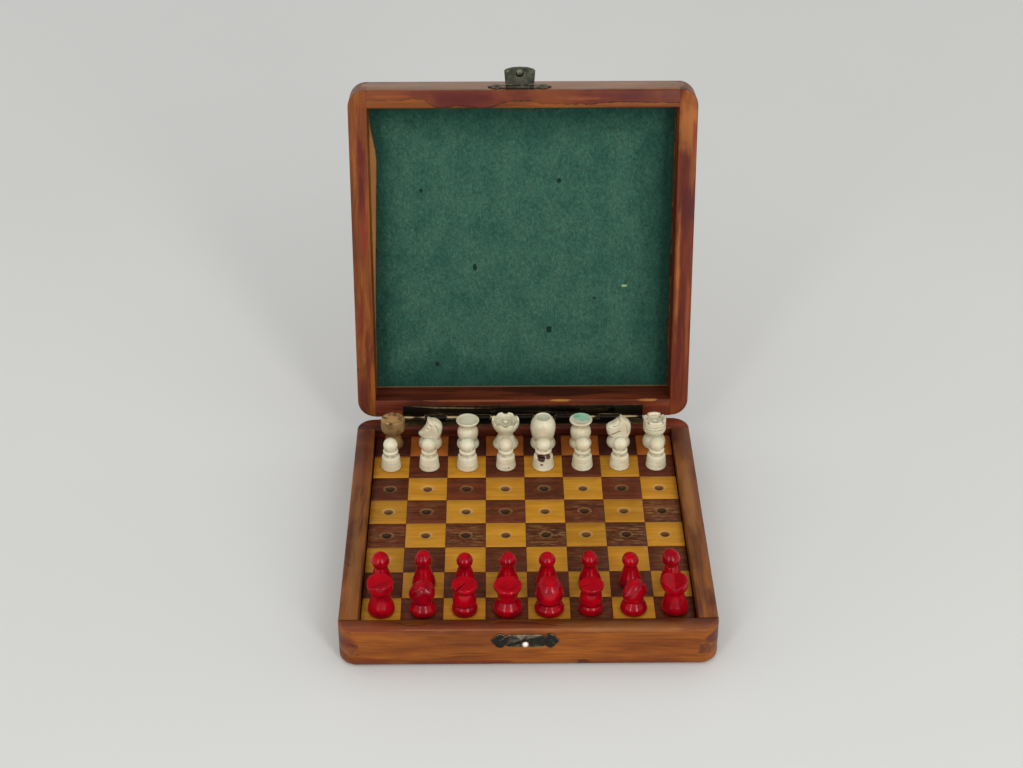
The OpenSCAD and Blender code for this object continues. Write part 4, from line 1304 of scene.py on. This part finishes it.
@dataclass
class Chessman:
    """One piece: its turned outline and what is carved out of it."""

    stock: Stock
    node: str
    turning: Turning
    turn: float = 0.0
    cut: Cut | None = None
    head: HorseHead | None = None
    girth: float = 1.0
    tall: float = 1.0
    lean: Point = (0.0, 0.0)

    def seat(self) -> Vector:
        """Middle of the foot in millimetres, over the peg's axis."""
        spots = spots_of(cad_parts[self.node]) / MM
        tip = spots[:, 2].min()
        peg = spots[spots[:, 2] < tip + 0.2]
        middle = (peg.max(axis=0) + peg.min(axis=0)) / 2
        return Vector((middle[0], middle[1], tip + self.turning.peg_len))

    def hand_made(self, thing: Thing, seed: float) -> None:
        """Lets the piece depart a little from a true turning.

        Args:
            thing: Piece in millimetres at the origin.
            seed: Number that makes each piece its own.
        """
        spots = spots_of(thing)
        up = np.clip(spots[:, 2], 0, None)
        around = np.arctan2(spots[:, 1], spots[:, 0])
        swell = self.girth + 0.004 * np.sin(2 * around + seed) + 0.004 * np.sin(up * 1.3 + seed * 2)
        swell = np.where(up > 0, swell, 1.0)
        spots[:, :2] = spots[:, :2] * swell[:, None] + np.outer(up, self.lean)
        spots[:, 2] = np.where(up > 0, up * self.tall, spots[:, 2])
        move_spots(thing, spots)

    def build(self, material: Material, seed: float) -> None:
        """Builds the piece and stands it in its hole.

        Args:
            material: Its finish.
            seed: Number that makes each piece its own.
        """
        piece = self.turning.build(f"{self.node}_turned")
        if self.head:
            head = self.head.build()
            modify(piece, "BOOLEAN", operation="UNION", solver="EXACT", object=head)
            settle(piece)
            bpy.data.objects.remove(head)
        if self.cut or self.head:
            carve(piece, self.cut.cutters() if self.cut else [])
        # Painted shade along the knight's cut lines.
        dirt_and_shade = self.head.groove_shade(spots_of(piece)) if self.head else 0.0
        self.hand_made(piece, seed)
        self.turning.mark_hollows(piece, dirt_and_shade)
        stand = Matrix.Translation(self.seat()) @ Matrix.Rotation(math.radians(self.turn), 4, "Z")
        dress(piece, material, f"{self.node}_body", self.node, 60, stand)


# Outlines from the foot up: place from the axis, height and softness of each corner.
OUTLINES: dict[str, list[Triple]] = {
    "white_pawn": [
        (3.95, 0, 0.15), (4.2, 0.3, 0.25), (4.2, 1.2, 0.12), (4.02, 1.4, 0.08), (4.08, 1.6, 0.1), (3.95, 3.2, 0.1),
        (3.78, 3.4, 0.08), (3.9, 3.6, 0.08), (3.74, 5.5, 0.3), (3.4, 6.0, 0.2), (2.5, 6.2, 0.2), (2.3, 6.5, 0.15),
        (2.7, 7.0, 0.3), (3.2, 7.6, 0.3), (3.22, 8.3, 0.25), (2.9, 8.7, 0.15), (2.35, 8.75, 0.1),
        *ball(2.98, 10.95, 2.3)],
    "red_pawn": [
        (4.0, 0, 0.4), (4.45, 0.6, 0.5), (4.45, 1.6, 0.8), (4.1, 3.2, 1.2), (3.1, 6.2, 1.4), (2.5, 8.3, 0.8)],
    "white_king": [
        (4.8, 0, 0.3), (5.3, 0.5, 0.4), (5.3, 1.5, 0.5), (4.9, 2.7, 0.8), (4.3, 3.6, 0.35), (4.25, 4.1, 0.25),
        (4.8, 5.6, 1.4), (5.25, 8.0, 2.0), (5.3, 9.6, 1.8), (4.95, 11.8, 1.8), (3.8, 13.5, 0.6),
        (3.35, 14.0, 0.25), (2.95, 13.95, 0.2), (2.5, 13.55, 0.4), (0, 13.4, 0)],
    "red_king": [
        (4.8, 0, 0.5), (5.6, 0.7, 0.6), (5.6, 1.8, 0.9), (5.0, 3.2, 0.8), (4.1, 4.1, 0.5), (3.95, 4.5, 0.4),
        (4.6, 5.5, 1.0), (5.25, 7.2, 1.8), (5.2, 9.2, 1.8), (4.6, 11.8, 1.6), (3.5, 13.6, 1.0), (2.0, 14.4, 0.8),
        (0, 14.5, 0)],
    "white_queen": [
        (4.9, 0, 0.3), (5.35, 0.5, 0.4), (5.35, 1.4, 0.4), (4.6, 2.3, 0.4), (4.3, 3.0, 0.4), (3.7, 4.2, 0.6),
        (3.1, 5.4, 0.8), (3.1, 6.4, 0.6), (3.6, 7.3, 0.6), (4.7, 8.6, 1.0), (5.4, 10.0, 0.8), (5.7, 11.2, 0.5),
        (5.7, 12.9, 0.25), (5.15, 12.9, 0.25), (4.85, 11.9, 0.3), (4.1, 11.2, 0.4), (3.6, 11.25, 0.12),
        (3.3, 11.0, 0.15), (2.5, 10.9, 0.15), (2.2, 11.3, 0.15), (1.8, 11.05, 0.15), *ball(1.05, 11.6, 0.75, 8)],
    "red_queen": [
        (4.8, 0, 0.4), (5.5, 0.6, 0.5), (5.6, 1.7, 0.9), (5.2, 3.2, 1.0), (4.3, 4.8, 0.8), (3.75, 5.8, 0.6),
        (3.65, 7.2, 0.8), (4.1, 9.0, 0.8), (5.0, 10.6, 0.6), (5.35, 11.5, 0.4), (5.3, 12.1, 0.4), (4.8, 12.6, 0.4),
        (3.2, 12.4, 0.3), (2.6, 12.1, 0.3), (0, 12.05, 0)],
    "white_bishop": [
        (4.3, 0, 0.3), (4.68, 0.4, 0.3), (4.72, 1.3, 0.5), (4.2, 2.4, 0.6), (3.6, 3.3, 0.35), (3.6, 3.7, 0.3),
        (4.1, 4.8, 0.8), (4.42, 6.6, 1.2), (4.1, 8.3, 1.0), (3.2, 9.5, 0.5), (3.05, 10.1, 0.4), (3.5, 11.1, 0.5),
        (4.5, 11.85, 0.3), (4.75, 12.3, 0.15), (4.75, 12.75, 0.1), (4.5, 12.92, 0.08), (4.0, 12.88, 0.1),
        (3.2, 12.7, 0.5), (0, 12.6, 0)],
    "red_bishop": [
        (4.4, 0, 0.4), (4.85, 0.6, 0.5), (4.9, 1.8, 0.9), (4.6, 3.1, 0.7), (3.95, 3.9, 0.4), (3.95, 4.2, 0.3),
        (4.4, 4.9, 0.5), (4.5, 5.8, 0.8), (4.2, 8.2, 1), (3.7, 9.8, 0.5), (3.8, 10.1, 0.3), (4.5, 10.9, 0.5),
        (4.85, 11.6, 0.3), (4.85, 12.5, 0.25), (4.6, 12.8, 0.2), (0, 12.8, 0)],
    "white_rook": [
        (4.4, 0, 0.3), (4.84, 0.5, 0.4), (4.84, 2.2, 0.7), (4.5, 3.3, 0.5), (3.7, 4.6, 0.5), (3.56, 5.5, 0.4),
        (4.0, 6.6, 0.6), (4.6, 7.5, 0.3), (4.72, 7.9, 0.2), (4.72, 9.0, 0.1), (4.5, 9.2, 0.06), (4.5, 9.4, 0.06),
        (4.72, 9.6, 0.1), (4.72, 10.2, 0.1), (4.5, 10.4, 0.06), (4.5, 10.6, 0.06), (4.72, 10.8, 0.1),
        (4.72, 13.0, 0.2), (4.5, 13.3, 0.15), (3.8, 13.25, 0.2), (3.3, 12.3, 0.3), (1.2, 11.9, 0.3),
        (0.9, 12.3, 0.2), (0, 12.35, 0)],
    "brown_rook": [
        (3.7, 0, 0.2), (4.05, 0.3, 0.3), (4.1, 1.4, 0.6), (3.3, 4.2, 1.2), (3.0, 5.8, 0.5), (3.6, 6.9, 0.5),
        (4.7, 8.1, 0.3), (5.0, 8.9, 0.3), (5.0, 11.0, 0.1), (4.86, 11.15, 0.08), (4.98, 11.35, 0.1),
        (4.98, 13.4, 0.3), (4.6, 13.75, 0.25), (4.0, 13.85, 0.3), (3.3, 13.55, 0.4), (0, 13.6, 0)],
    "red_rook": [
        (4.5, 0, 0.5), (5.1, 0.7, 0.6), (5.15, 1.7, 0.7), (4.9, 3.0, 0.9), (4.3, 4.9, 1.2), (3.7, 7.0, 1.2),
        (3.45, 8.6, 0.8), (3.5, 9.1, 0.5), (4.2, 9.9, 0.6), (4.85, 10.8, 0.5), (4.95, 11.6, 0.3),
        (4.95, 14.1, 0.3), (4.6, 14.4, 0.25), (0, 14.4, 0)],
    "white_knight": [
        (4.3, 0, 0.35), (4.85, 0.6, 0.5), (4.95, 1.7, 0.8), (4.55, 3.0, 0.8), (3.5, 4.1, 0.35), (3.15, 4.5, 0.2),
        (2.9, 6.0, 0.3), (0, 6.2, 0)],
    "red_knight": [
        (4.5, 0, 0.4), (5.1, 0.7, 0.6), (5.1, 1.7, 0.9), (4.4, 3.3, 1.0), (3.5, 4.5, 0.7), (3.2, 5.6, 0.4),
        (3.1, 6.6, 0.3), (0, 6.8, 0)],
}


@dataclass
class ChessSet:
    """All 32 chessmen, whose outlines differ between the two sides.

    Each white pawn has its own girth, and each red one the radius of its head, its height and its lean.
    """

    girths: tuple[float, ...] = (0.98, 1.0, 1.05, 0.97, 1.05, 1.03, 0.97, 1.0)
    tempers: tuple[Triple, ...] = (
        (3.2, 1.04, -0.02), (3.1, 1.08, 0.0), (2.95, 0.99, 0.0), (3.0, 1.0, 0.01), (3.0, 1.0, -0.01),
        (3.1, 1.03, -0.04), (3.0, 0.98, -0.04), (3.35, 1.07, -0.07))
    rook_top: float = 14.4
    vee_deep: float = 1.6

    def knight_heads(self) -> list[HorseHead]:
        """Heads of the left white knight, the right white knight and the red knights."""
        return [
            HorseHead([
                (-2.6, 2.9, 0.4), (-3.6, 4.9, 0.4), (-5.0, 6.0, 0.3), (-4.9, 6.6, 0.3), (-3.2, 8.1, 0.6),
                (-1.8, 10.3, 0.6), (-1.2, 12.4, 0.3), (-1.0, 14.0, 0.2), (0.5, 13.2, 0.3), (1.2, 13.4, 0.3),
                (3.3, 12.8, 0.9), (4.9, 11.0, 0.9), (5.3, 9.2, 0.8), (5.0, 6.9, 0.8), (4.3, 5.0, 0.8), (3.4, 2.9, 0.4),
            ], [([(-0.8, 12.4), (-0.2, 11.3), (0.2, 10.9)], 0.3, 0.4), ([(-1.0, 9.6), (-0.6, 9.6)], 0.3, 0.6),
                ([(1.0, 12.8), (2.2, 11.6), (3.3, 9.6), (3.6, 7.6)], 0.28, 0.4),
                ([(2.6, 12.4), (4.0, 10.6), (4.4, 8.2)], 0.25, 0.3), ([(-4.6, 6.3), (-2.8, 6.5)], 0.2, 0.5),
                ([(0.2, 7.6), (0.8, 9.6), (0.2, 11.6)], 0.3, 0.25)], muzzle_x=-4.9),
            HorseHead([
                (-2.4, 2.9, 0.4), (-3.2, 4.6, 0.4), (-4.6, 5.3, 0.4), (-5.2, 7.6, 0.4), (-5.4, 9.3, 0.4),
                (-4.4, 10.4, 0.4), (-2.4, 11.4, 0.6), (-1.1, 12.5, 0.5), (-0.3, 13.0, 0.3), (0.6, 14.7, 0.15),
                (1.9, 13.6, 0.4), (4.1, 12.0, 0.8), (5.2, 9.9, 0.8), (5.2, 8.3, 0.8), (4.8, 5.8, 0.8), (3.4, 2.9, 0.4),
            ], [([(-4.6, 5.2), (0.2, 7.9)], 0.3, 1.5), ([(-2.3, 10.1), (-1.7, 10.2)], 0.3, 0.7),
                ([(-4.6, 9.2), (-4.2, 9.0)], 0.22, 0.5), ([(0.4, 13.2), (-0.4, 11.2), (-1.0, 10.6)], 0.25, 0.4),
                ([(1.4, 12.9), (3.3, 10.4), (3.6, 7.0)], 0.28, 0.4), ([(2.9, 12.2), (4.4, 9.6), (4.3, 7.4)], 0.22, 0.3),
                ([(-4.9, 7.0), (-3.9, 7.3)], 0.2, 0.35)], muzzle_x=-5.2, muzzle_share=0.85),
            HorseHead([
                (-2.4, 3.0, 0.4), (-3.1, 4.8, 0.5), (-4.6, 6.2, 0.6), (-5.3, 8.0, 0.7), (-4.9, 9.8, 0.8),
                (-3.4, 11.9, 0.7), (-1.8, 13.2, 0.6), (0.2, 13.9, 0.6), (2.3, 13.2, 0.8), (4.1, 11.6, 0.9),
                (4.9, 9.3, 0.9), (4.6, 7.3, 0.8), (3.6, 5.4, 0.7), (3.0, 3.0, 0.4),
            ], [([(-4.6, 8.0), (-0.6, 11.6), (1.2, 13.0)], 0.9, 0.3), ([(1.8, 12.6), (2.6, 6.5)], 0.9, 0.15)],
                muzzle_x=-5.3, thick=6.8, round_over=2.8)]

    def cuts(self) -> dict[str, Cut]:
        """What is cut out of the rooks, the white queen and the red bishops."""
        at, tilt, side = Matrix.Translation, Matrix.Rotation, 6.0
        vee = at((0, 0, self.rook_top - self.vee_deep + side)) @ Matrix.Diagonal((2.3, 1, 1, 1))
        vee = vee @ tilt(math.radians(45), 4, "Y")
        return {
            "brown_rook": Cut((4.4, 1.3, 1.8), at((4.4, 0, 13.9)), 80, 4),
            "white_rook": Cut((4.4, 1.4, 3.0), at((4.4, 0, 13.3)), 47, 4),
            "white_queen": Cut((1.35, 1.35, 3.2), at((5.6, 0, 13.4)) @ tilt(math.radians(90), 4, "Y"), 0, 8, True),
            "red_rook": Cut((side * math.sqrt(2), 14.0, side * math.sqrt(2)), vee),
            "red_bishop_left": Cut((6.0, 0.55, 2.4), at((2.6, 0, 12.8)), -125),
            "red_bishop_right": Cut((4.6, 0.4, 1.6), at((2.8, 0, 12.8)), 165),
        }

    def men(self) -> list[Chessman]:
        """Every piece in its order."""
        white, red, cuts = Stock.WHITE, Stock.RED, self.cuts()
        left_head, right_head, red_head = self.knight_heads()
        turned = {name: Turning(corners) for name, corners in OUTLINES.items()}
        men = [
            Chessman(Stock.BROWN, "white_rook_left", turned["brown_rook"], cut=cuts["brown_rook"]),
            Chessman(white, "white_knight_left", turned["white_knight"], head=left_head),
            Chessman(white, "white_bishop_left", turned["white_bishop"]),
            Chessman(white, "white_queen", turned["white_queen"], cut=cuts["white_queen"]),
            Chessman(white, "white_king", turned["white_king"]),
            Chessman(white, "white_bishop_right", turned["white_bishop"]),
            Chessman(white, "white_knight_right", turned["white_knight"], head=right_head),
            Chessman(white, "white_rook_right", turned["white_rook"], cut=cuts["white_rook"]),
            Chessman(red, "red_rook_left", turned["red_rook"], turn=-60, cut=cuts["red_rook"]),
            Chessman(red, "red_knight_left", turned["red_knight"], head=red_head),
            Chessman(red, "red_bishop_left", turned["red_bishop"], cut=cuts["red_bishop_left"]),
            Chessman(red, "red_queen", turned["red_queen"]),
            Chessman(red, "red_king", turned["red_king"]),
            Chessman(red, "red_bishop_right", turned["red_bishop"], turn=40, cut=cuts["red_bishop_right"],
                     girth=0.96, lean=(-0.03, -0.04)),
            Chessman(red, "red_knight_right", turned["red_knight"], turn=38, head=red_head),
            Chessman(red, "red_rook_right", turned["red_rook"], cut=cuts["red_rook"], lean=(-0.035, 0.0)),
        ]
        men += [Chessman(white, f"white_pawn_{n}", turned["white_pawn"], girth=girth)
                for n, girth in enumerate(self.girths, 1)]
        for n, (head, tall, lean) in enumerate(self.tempers, 1):
            pawn = Turning([*OUTLINES["red_pawn"], *ball(head * 1.05, 14.4 - head, 2.35)])
            men.append(Chessman(red, f"red_pawn_{n}", pawn, tall=tall, lean=(lean, 0.0)))
        return men

    def build(self) -> None:
        """Builds all the pieces."""
        brown, bare = (54, 22, 6), (84, 40, 14)
        flaws = (Stain((6.9, 37.4, 18.9), (1.9, 3.0, 1.8), brown, 1.0, 0.5, 0.8, 0.3),
                 Stain((10.0, 38.0, 19.3), (1.25, 2.8, 1.3), bare, 0.95, 0.5, 0.9, 0.3),
                 Stain((8.4, 38.0, 20.4), (3.0, 2.8, 0.5), (110, 62, 28), 0.9, 0.5, 0.9, 0.5),
                 Stain((7.2, 36.4, 16.0), (0.75, 2.0, 0.4), brown, 1.0, 0.4, 0.9, 0.3),
                 Stain((-6.3, 36.4, 14.4), (0.6, 2.0, 0.3), brown, 0.8, 0.4, 0.9),
                 Stain((24.5, 57.9, 25.5), (4.1, 3.7, 0.8), (134, 190, 158), 0.85, 0.7, 0.5, 0.5),
                 Stain((22.4, 58.8, 25.5), (2.0, 1.6, 0.8), (104, 164, 130), 0.7, 0.7, 0.6, 0.7),
                 Stain((7.9, 56.3, 26.4), (2.8, 2.8, 0.8), (170, 182, 154), 0.35, 0.3, 0.5))
        worn_top = Stain((-55.1, 55.6, 26.6), (4.6, 4.6, 0.6), (184, 142, 88), 0.85, 0.4, 0.5)
        finishes = {
            Stock.WHITE: Bone("white_bone", stains=flaws).make(),
            Stock.BROWN: Bone("brown_bone", (136, 105, 64), (104, 75, 45), (118, 96, 64), (60, 40, 24), 0.85,
                              (worn_top,)).make(),
            Stock.RED: RedStain("red_dyed_bone").make()}
        for number, man in enumerate(self.men()):
            man.build(finishes[man.stock], number)


# ---- Studio ----


@dataclass
class Studio:
    """Pale floor, two tall soft lamps, an even sky and the camera."""

    floor_color: Triple = (214, 213, 209)
    seen_sky: Triple = (216, 216, 214)
    cool_light: Triple = (0.97, 0.985, 1.0)
    warm_light: Triple = (1.0, 0.985, 0.96)
    sky: float = 0.78
    floor_half: float = 4.0
    lamp_tall: float = 1.26
    lamp_away: float = 1.0
    lamp_up: float = 0.64

    def floor(self) -> None:
        """Lays the floor under the box."""
        corners = ((-1, -1, 0), (1, -1, 0), (1, 1, 0), (-1, 1, 0))
        ground = from_points("floor", self.floor_half * np.array(corners), [(0, 1, 2, 3)])
        g = Graph("pale_floor")
        cloud = g.noise(g.place(), 0.004, 3)
        ground.data.materials.append(g.shader({"Base Color": g.shade(self.floor_color, cloud, 0.985, 1.015),
                                               "Roughness": 0.8, "Specular IOR Level": 0.2}))

    def lamp(self, name: str, across: float, width: float, power: float, color: Triple) -> None:
        """Stands one tall soft lamp upright in front, turned towards the box.

        Args:
            name: Name of the lamp.
            across: How far to the right it stands.
            width: Its width.
            power: Watts.
            color: Colour of its light.
        """
        light = bpy.data.lights.new(name, "AREA")
        light.shape = "RECTANGLE"
        light.size, light.size_y = width, self.lamp_tall
        light.energy = power
        light.color = color
        thing = bpy.data.objects.new(name, light)
        thing.location = (across, -self.lamp_away, self.lamp_up)
        thing.rotation_euler = Vector((-across, self.lamp_away, 0)).to_track_quat("-Z", "Y").to_euler()
        thing.visible_camera = False
        bpy.context.scene.collection.objects.link(thing)

    def world(self) -> None:
        """Lights the scene evenly from all round; the camera sees a pale background."""
        g = Graph("studio", "worlds")
        even = g.add("Background", {"Color": (*self.cool_light, 1), "Strength": self.sky})
        seen = g.add("Background", {"Color": linear(self.seen_sky)})
        path = g.add("LightPath", {}).outputs
        rays = g.math("MAXIMUM", path["Is Camera Ray"], path["Is Glossy Ray"])
        rays = g.math("MAXIMUM", rays, path["Is Transmission Ray"])
        pick = g.add("MixShader", {0: rays, 1: even.outputs[0], 2: seen.outputs[0]})
        g.add("OutputWorld", {"Surface": pick.outputs[0]})
        bpy.context.scene.world = g.owner

    def camera(self) -> None:
        """Sets the camera in front of the box, above it and a little to its left."""
        lens = bpy.data.cameras.new("camera")
        lens.lens = 68.70
        lens.sensor_width = 36.0
        thing = bpy.data.objects.new("camera", lens)
        thing.location = (-0.011745, -0.62505, 0.470835)
        thing.rotation_euler = tuple(math.radians(a) for a in (57.875, 0.02, -0.578))
        bpy.context.scene.collection.objects.link(thing)
        bpy.context.scene.camera = thing

    def build(self) -> None:
        """Sets up camera, floor, sky and lamps."""
        self.camera()
        self.floor()
        self.world()
        self.lamp("key_lamp", 0.5, 0.24, 7.6, self.warm_light)
        self.lamp("fill_lamp", -0.52, 0.18, 4.4, self.cool_light)
        bpy.context.scene.view_settings.view_transform = "Standard"


def lid_walls() -> Walls:
    """The lid with the wood of each wall; places are as with the box shut."""
    maroon, red, honey, tan, amber = (84, 24, 20), (118, 42, 22), (158, 94, 40), (150, 78, 30), (176, 118, 50)
    line = ((-63.5, -66.9), (-59.5, -66.9), (-55.6, -67.7), (-52.1, -67.4), (-50.1, -65.9), (-47.1, -64.2),
            (-44.1, -63.7), (-41.1, -64.2), (-37.1, -64.9), (-33.1, -64.6), (-30.2, -64.0), (-24.2, -63.5),
            (-19.7, -63.7), (-16.2, -64.6), (-13.2, -65.4), (-10.2, -66.3), (-5.8, -66.5), (2.7, -66.6),
            (8.5, -66.0), (11.0, -65.3), (15.0, -65.5), (24.5, -65.2), (38.4, -65.0), (41.4, -65.5), (48.4, -66.0),
            (55.8, -66.0), (63.0, -65.7))
    front_stains = (
        *along_rim((0.12, 0.3, 0.3), 0.8, (-25.0, -67.5, (19.0, 3.8, 1.0), maroon, 0.85, 0.5)),
        *along_rim((0.15, 0.5, 0.4), 0.9, (24.0, -67.4, (12.0, 1.4, 1.0), tan, 0.5, 0.9)),
        *along_rim((0.12, 0.3, 0.3), 0.8, (48.0, -68.4, (18.0, 3.0, 1.0), maroon, 0.85, 0.5)),
        *along_rim((0.12, 0.5, 0.3), 0.9, (-55.0, -68.4, (10.0, 0.8, 1.0), tan, 0.4, 0.9)),
        *along_rim((0.1, 0.4, 0.4), 0.8, (45.0, -63.6, (20.0, 1.6, 1.0), red, 0.6, 0.5)),
        # Painted reflection: a pale pinkish sheen across the lid's front face, which faces up when the lid stands open.
        Stain((0.0, -71.4, 25.0), (120.0, 0.9, 12.0), (166, 136, 112), 0.5, 0.2, (0.1, 0.3, 0.3), 0.5))
    streak = ((0.6, 0.1, 0.3), 0.85)
    left_stains = along_rim(
        *streak, (-65.6, -36.0, (2.0, 31.0, 1.0), (84, 20, 18), 0.95, 0.8),
        (-65.2, -12.0, (1.6, 15.0, 1.0), (130, 40, 30), 0.7, 0.8),
        (-67.2, 26.0, (2.4, 16.0, 1.0), (98, 32, 18), 0.85, 0.9),
        (-69.3, -14.0, (0.8, 50.0, 1.5), (98, 44, 20), 0.8, 0.7),
        (-65.0, 44.0, (1.4, 22.0, 1.0), (90, 32, 18), 0.85, 0.9))
    right_stains = (
        *along_rim((0.3, 0.12, 0.3), 0.7, (66.0, -56.0, (5.0, 13.0, 1.0), honey, 0.75, 0.5)),
        *along_rim(*streak, (68.9, -50.0, (1.2, 12.0, 1.0), red, 0.85, 0.7)),
        *along_rim((0.4, 0.1, 0.3), 0.8, (66.6, -22.0, (3.2, 17.0, 1.0), (76, 22, 22), 0.9, 0.7)),
        *along_rim(*streak, (64.0, 6.0, (1.1, 36.0, 1.0), honey, 0.75, 0.7),
                   (66.4, 16.0, (1.3, 20.0, 1.0), maroon, 0.9, 0.9),
                   (68.6, 30.0, (1.2, 26.0, 1.0), (142, 74, 34), 0.6, 0.8),
                   (65.4, 44.0, (1.3, 15.0, 1.0), maroon, 0.9, 0.9)))
    worn_rim = (Stain((15.9, 63.8, 16.8), (4.5, 0.9, 0.7), amber, 0.9, 0.4, (0.3, 0.8, 0.8)),
                Stain((53.0, 63.8, 16.8), (5.0, 0.8, 0.7), amber, 0.9, 0.4, (0.3, 0.8, 0.8)),
                Stain((-20.0, 63.7, 16.8), (22.0, 0.7, 0.6), (140, 74, 34), 0.6, 0.5, (0.2, 0.8, 0.8)))
    bare = (Stain((-61.0, 0, 30.4), (4.0, 70, 1.2), (172, 122, 70), 0.95, 0.1, 0.2),
            Stain((0, 62.9, 30.4), (70, 1.6, 1.2), (104, 74, 46), 0.95, 0.1, 0.2))
    vein = Vein(line, (96, 36, 24), 20.0, 0.92)
    dark = dict(pale=(132, 72, 22), mid=(104, 50, 17))
    return Walls(Part.LID, {
        "front": Wood("lid_front_wood", Grain.ALONG_X, Part.LID, heart_cut=0.72, seed=6.0, stains=front_stains,
                      veins=(vein,), **dark),
        "back": Wood("lid_back_wood", Grain.ALONG_X, Part.LID, heart_cut=0.5, seed=7.0, stains=worn_rim,
                     pale=(116, 50, 26), mid=(88, 34, 19), heart=(66, 24, 15)),
        "left": Wood("lid_left_wood", Grain.ALONG_Y, Part.LID, heart_cut=0.6, seed=8.0, wave=0.014,
                     stains=left_stains, **dark),
        "right": Wood("lid_right_wood", Grain.ALONG_Y, Part.LID, heart_cut=0.5, seed=9.0, wave=0.014,
                      lean=(0, 0.003, 0), lean_from=(0, -40, 0), stains=right_stains),
    }, "lid_panel", Wood("lid_panel_wood", Grain.ALONG_X, Part.LID, heart_cut=0.56, seed=10.0, ring=3.4, stains=bare))


def base_walls() -> Walls:
    """The base with the wood of each wall."""
    deep_red, brown, low = (98, 34, 18), (88, 40, 24), (0.07, 0.2, 0.6)
    line = ((-66.0, -63.4), (-61.7, -64.2), (-56.9, -67.3), (-52.0, -67.3), (-48.7, -65.3), (-40.0, -63.0),
            (-30.9, -63.4), (-23.2, -65.3), (-18.4, -66.1), (-11.2, -65.7), (0.9, -66.1), (15.4, -67.8),
            (34.6, -68.2), (49.0, -67.7), (53.4, -65.3), (57.6, -63.0), (61.0, -62.6), (66.0, -62.2))
    front_stains = (
        Stain((38.0, -68.4, 16.6), (33.0, 5.0, 1.0), (146, 94, 50), 0.75, 0.5, (0.1, 0.3, 0.3), 0.7),
        Stain((20.0, -71, 2.0), (2.6, 4, 1.4), (70, 22, 12), 0.8, 0.5, (0.2, 0.2, 0.6)),
        Stain((-24.0, -71, 1.6), (26.0, 4, 1.6), deep_red, 0.75, 0.6, low),
        Stain((40.0, -71, 1.4), (24.0, 4, 1.4), deep_red, 0.65, 0.6, low),
        Stain((-58.0, -71, 1.8), (9.0, 4, 1.8), deep_red, 0.6, 0.5, low),
        # Pale line along the front's top edge: worn wood, partly a painted highlight.
        Stain((0.0, -70.0, 16.5), (60.0, 0.7, 0.7), (172, 112, 58), 0.45, 0.8, (0.12, 0.5, 0.5)),
        # Painted shade: darker along the bottom edge of the front, where the box stands on the floor.
        Stain((0.0, -70.0, -0.2), (90.0, 6.0, 2.0), (58, 26, 15), 0.8, 0.5, (0.1, 0.2, 0.6), 0.7))
    corners = (Stain((-66.5, -68, 10.8), (5.2, 9, 3.4), (92, 34, 26), 0.85, 0.3, 0.2, 0.7),
               Stain((-70.5, -68, 9.0), (3.4, 7, 7.5), (96, 48, 28), 0.6, 0.3, 0.2, 0.6),
               Stain((68.6, -68, 12.0), (3.8, 8, 3.0), (78, 34, 28), 0.8, 0.2, 0.2))
    left_stains = (
        *along_rim((0.3, 0.08, 0.3), 0.8, (-66.0, 48.0, (7.0, 30.0, 2.0), brown, 0.9, 0.5)),
        *along_rim((0.5, 0.1, 0.3), 0.8, (-65.5, 30.0, (1.3, 24.0, 1.0), (84, 22, 18), 0.85, 0.8)),
        *along_rim((0.4, 0.07, 0.3), 0.8, (-66.0, -28.0, (2.8, 34.0, 1.0), (132, 88, 42), 0.6, 0.6)),
        *along_rim((0.5, 0.08, 0.3), 0.8, (-68.8, -20.0, (1.4, 36.0, 1.0), (90, 44, 22), 0.7, 0.8)))
    right_stains = (
        *along_rim((0.3, 0.1, 0.3), 0.7, (66.0, 53.0, (7.0, 22.0, 2.0), (72, 34, 26), 0.95, 0.5)),
        *along_rim((0.4, 0.08, 0.3), 0.8, (65.6, 14.0, (2.8, 30.0, 1.0), (146, 100, 52), 0.8, 0.6),
                   (69.0, 20.0, (2.0, 38.0, 1.5), (88, 40, 25), 0.8, 0.7)),
        *along_rim((0.3, 0.2, 0.3), 0.8, (68.4, -53.0, (3.0, 9.0, 1.0), brown, 0.8, 0.6),
                   (63.6, -58.0, (1.6, 6.0, 1.0), (84, 38, 36), 0.8, 0.5)))
    vein = Vein(line, (118, 52, 34), 30.0, 0.7)
    rim = dict(pale=(136, 80, 32), mid=(106, 56, 24), heart=(84, 36, 20), heart_cut=0.6, wave=0.018)
    return Walls(Part.BASE, {
        "front": Wood("base_front_wood", Grain.ALONG_X, heart_cut=0.72, seed=1.0, stains=(*front_stains, *corners),
                      wave=0.02, line_strength=0.6, pale=(138, 75, 20), mid=(110, 53, 15), veins=(vein,)),
        "back": Wood("base_back_wood", Grain.ALONG_X, heart_cut=0.5, seed=2.0, pale=(116, 50, 26),
                     mid=(88, 34, 19), heart=(66, 24, 15)),
        "left": Wood("base_left_wood", Grain.ALONG_Y, seed=3.0, stains=(*corners, *left_stains), **rim),
        "right": Wood("base_right_wood", Grain.ALONG_Y, seed=4.0, stains=(*corners, *right_stains), **rim),
    }, "base_bottom", Wood("base_bottom_wood", Grain.ALONG_X, heart_cut=0.62, seed=5.0, ring=3.4))


def main() -> None:
    """Builds the studio and the chess set, piece by piece."""
    logging.basicConfig(level=logging.INFO, format="%(name)s %(message)s")
    for part in (Studio(), base_walls(), lid_walls(), Board(), FeltLining(), Fittings(), ChessSet()):
        part.build()


if __name__ == "__main__":
    main()
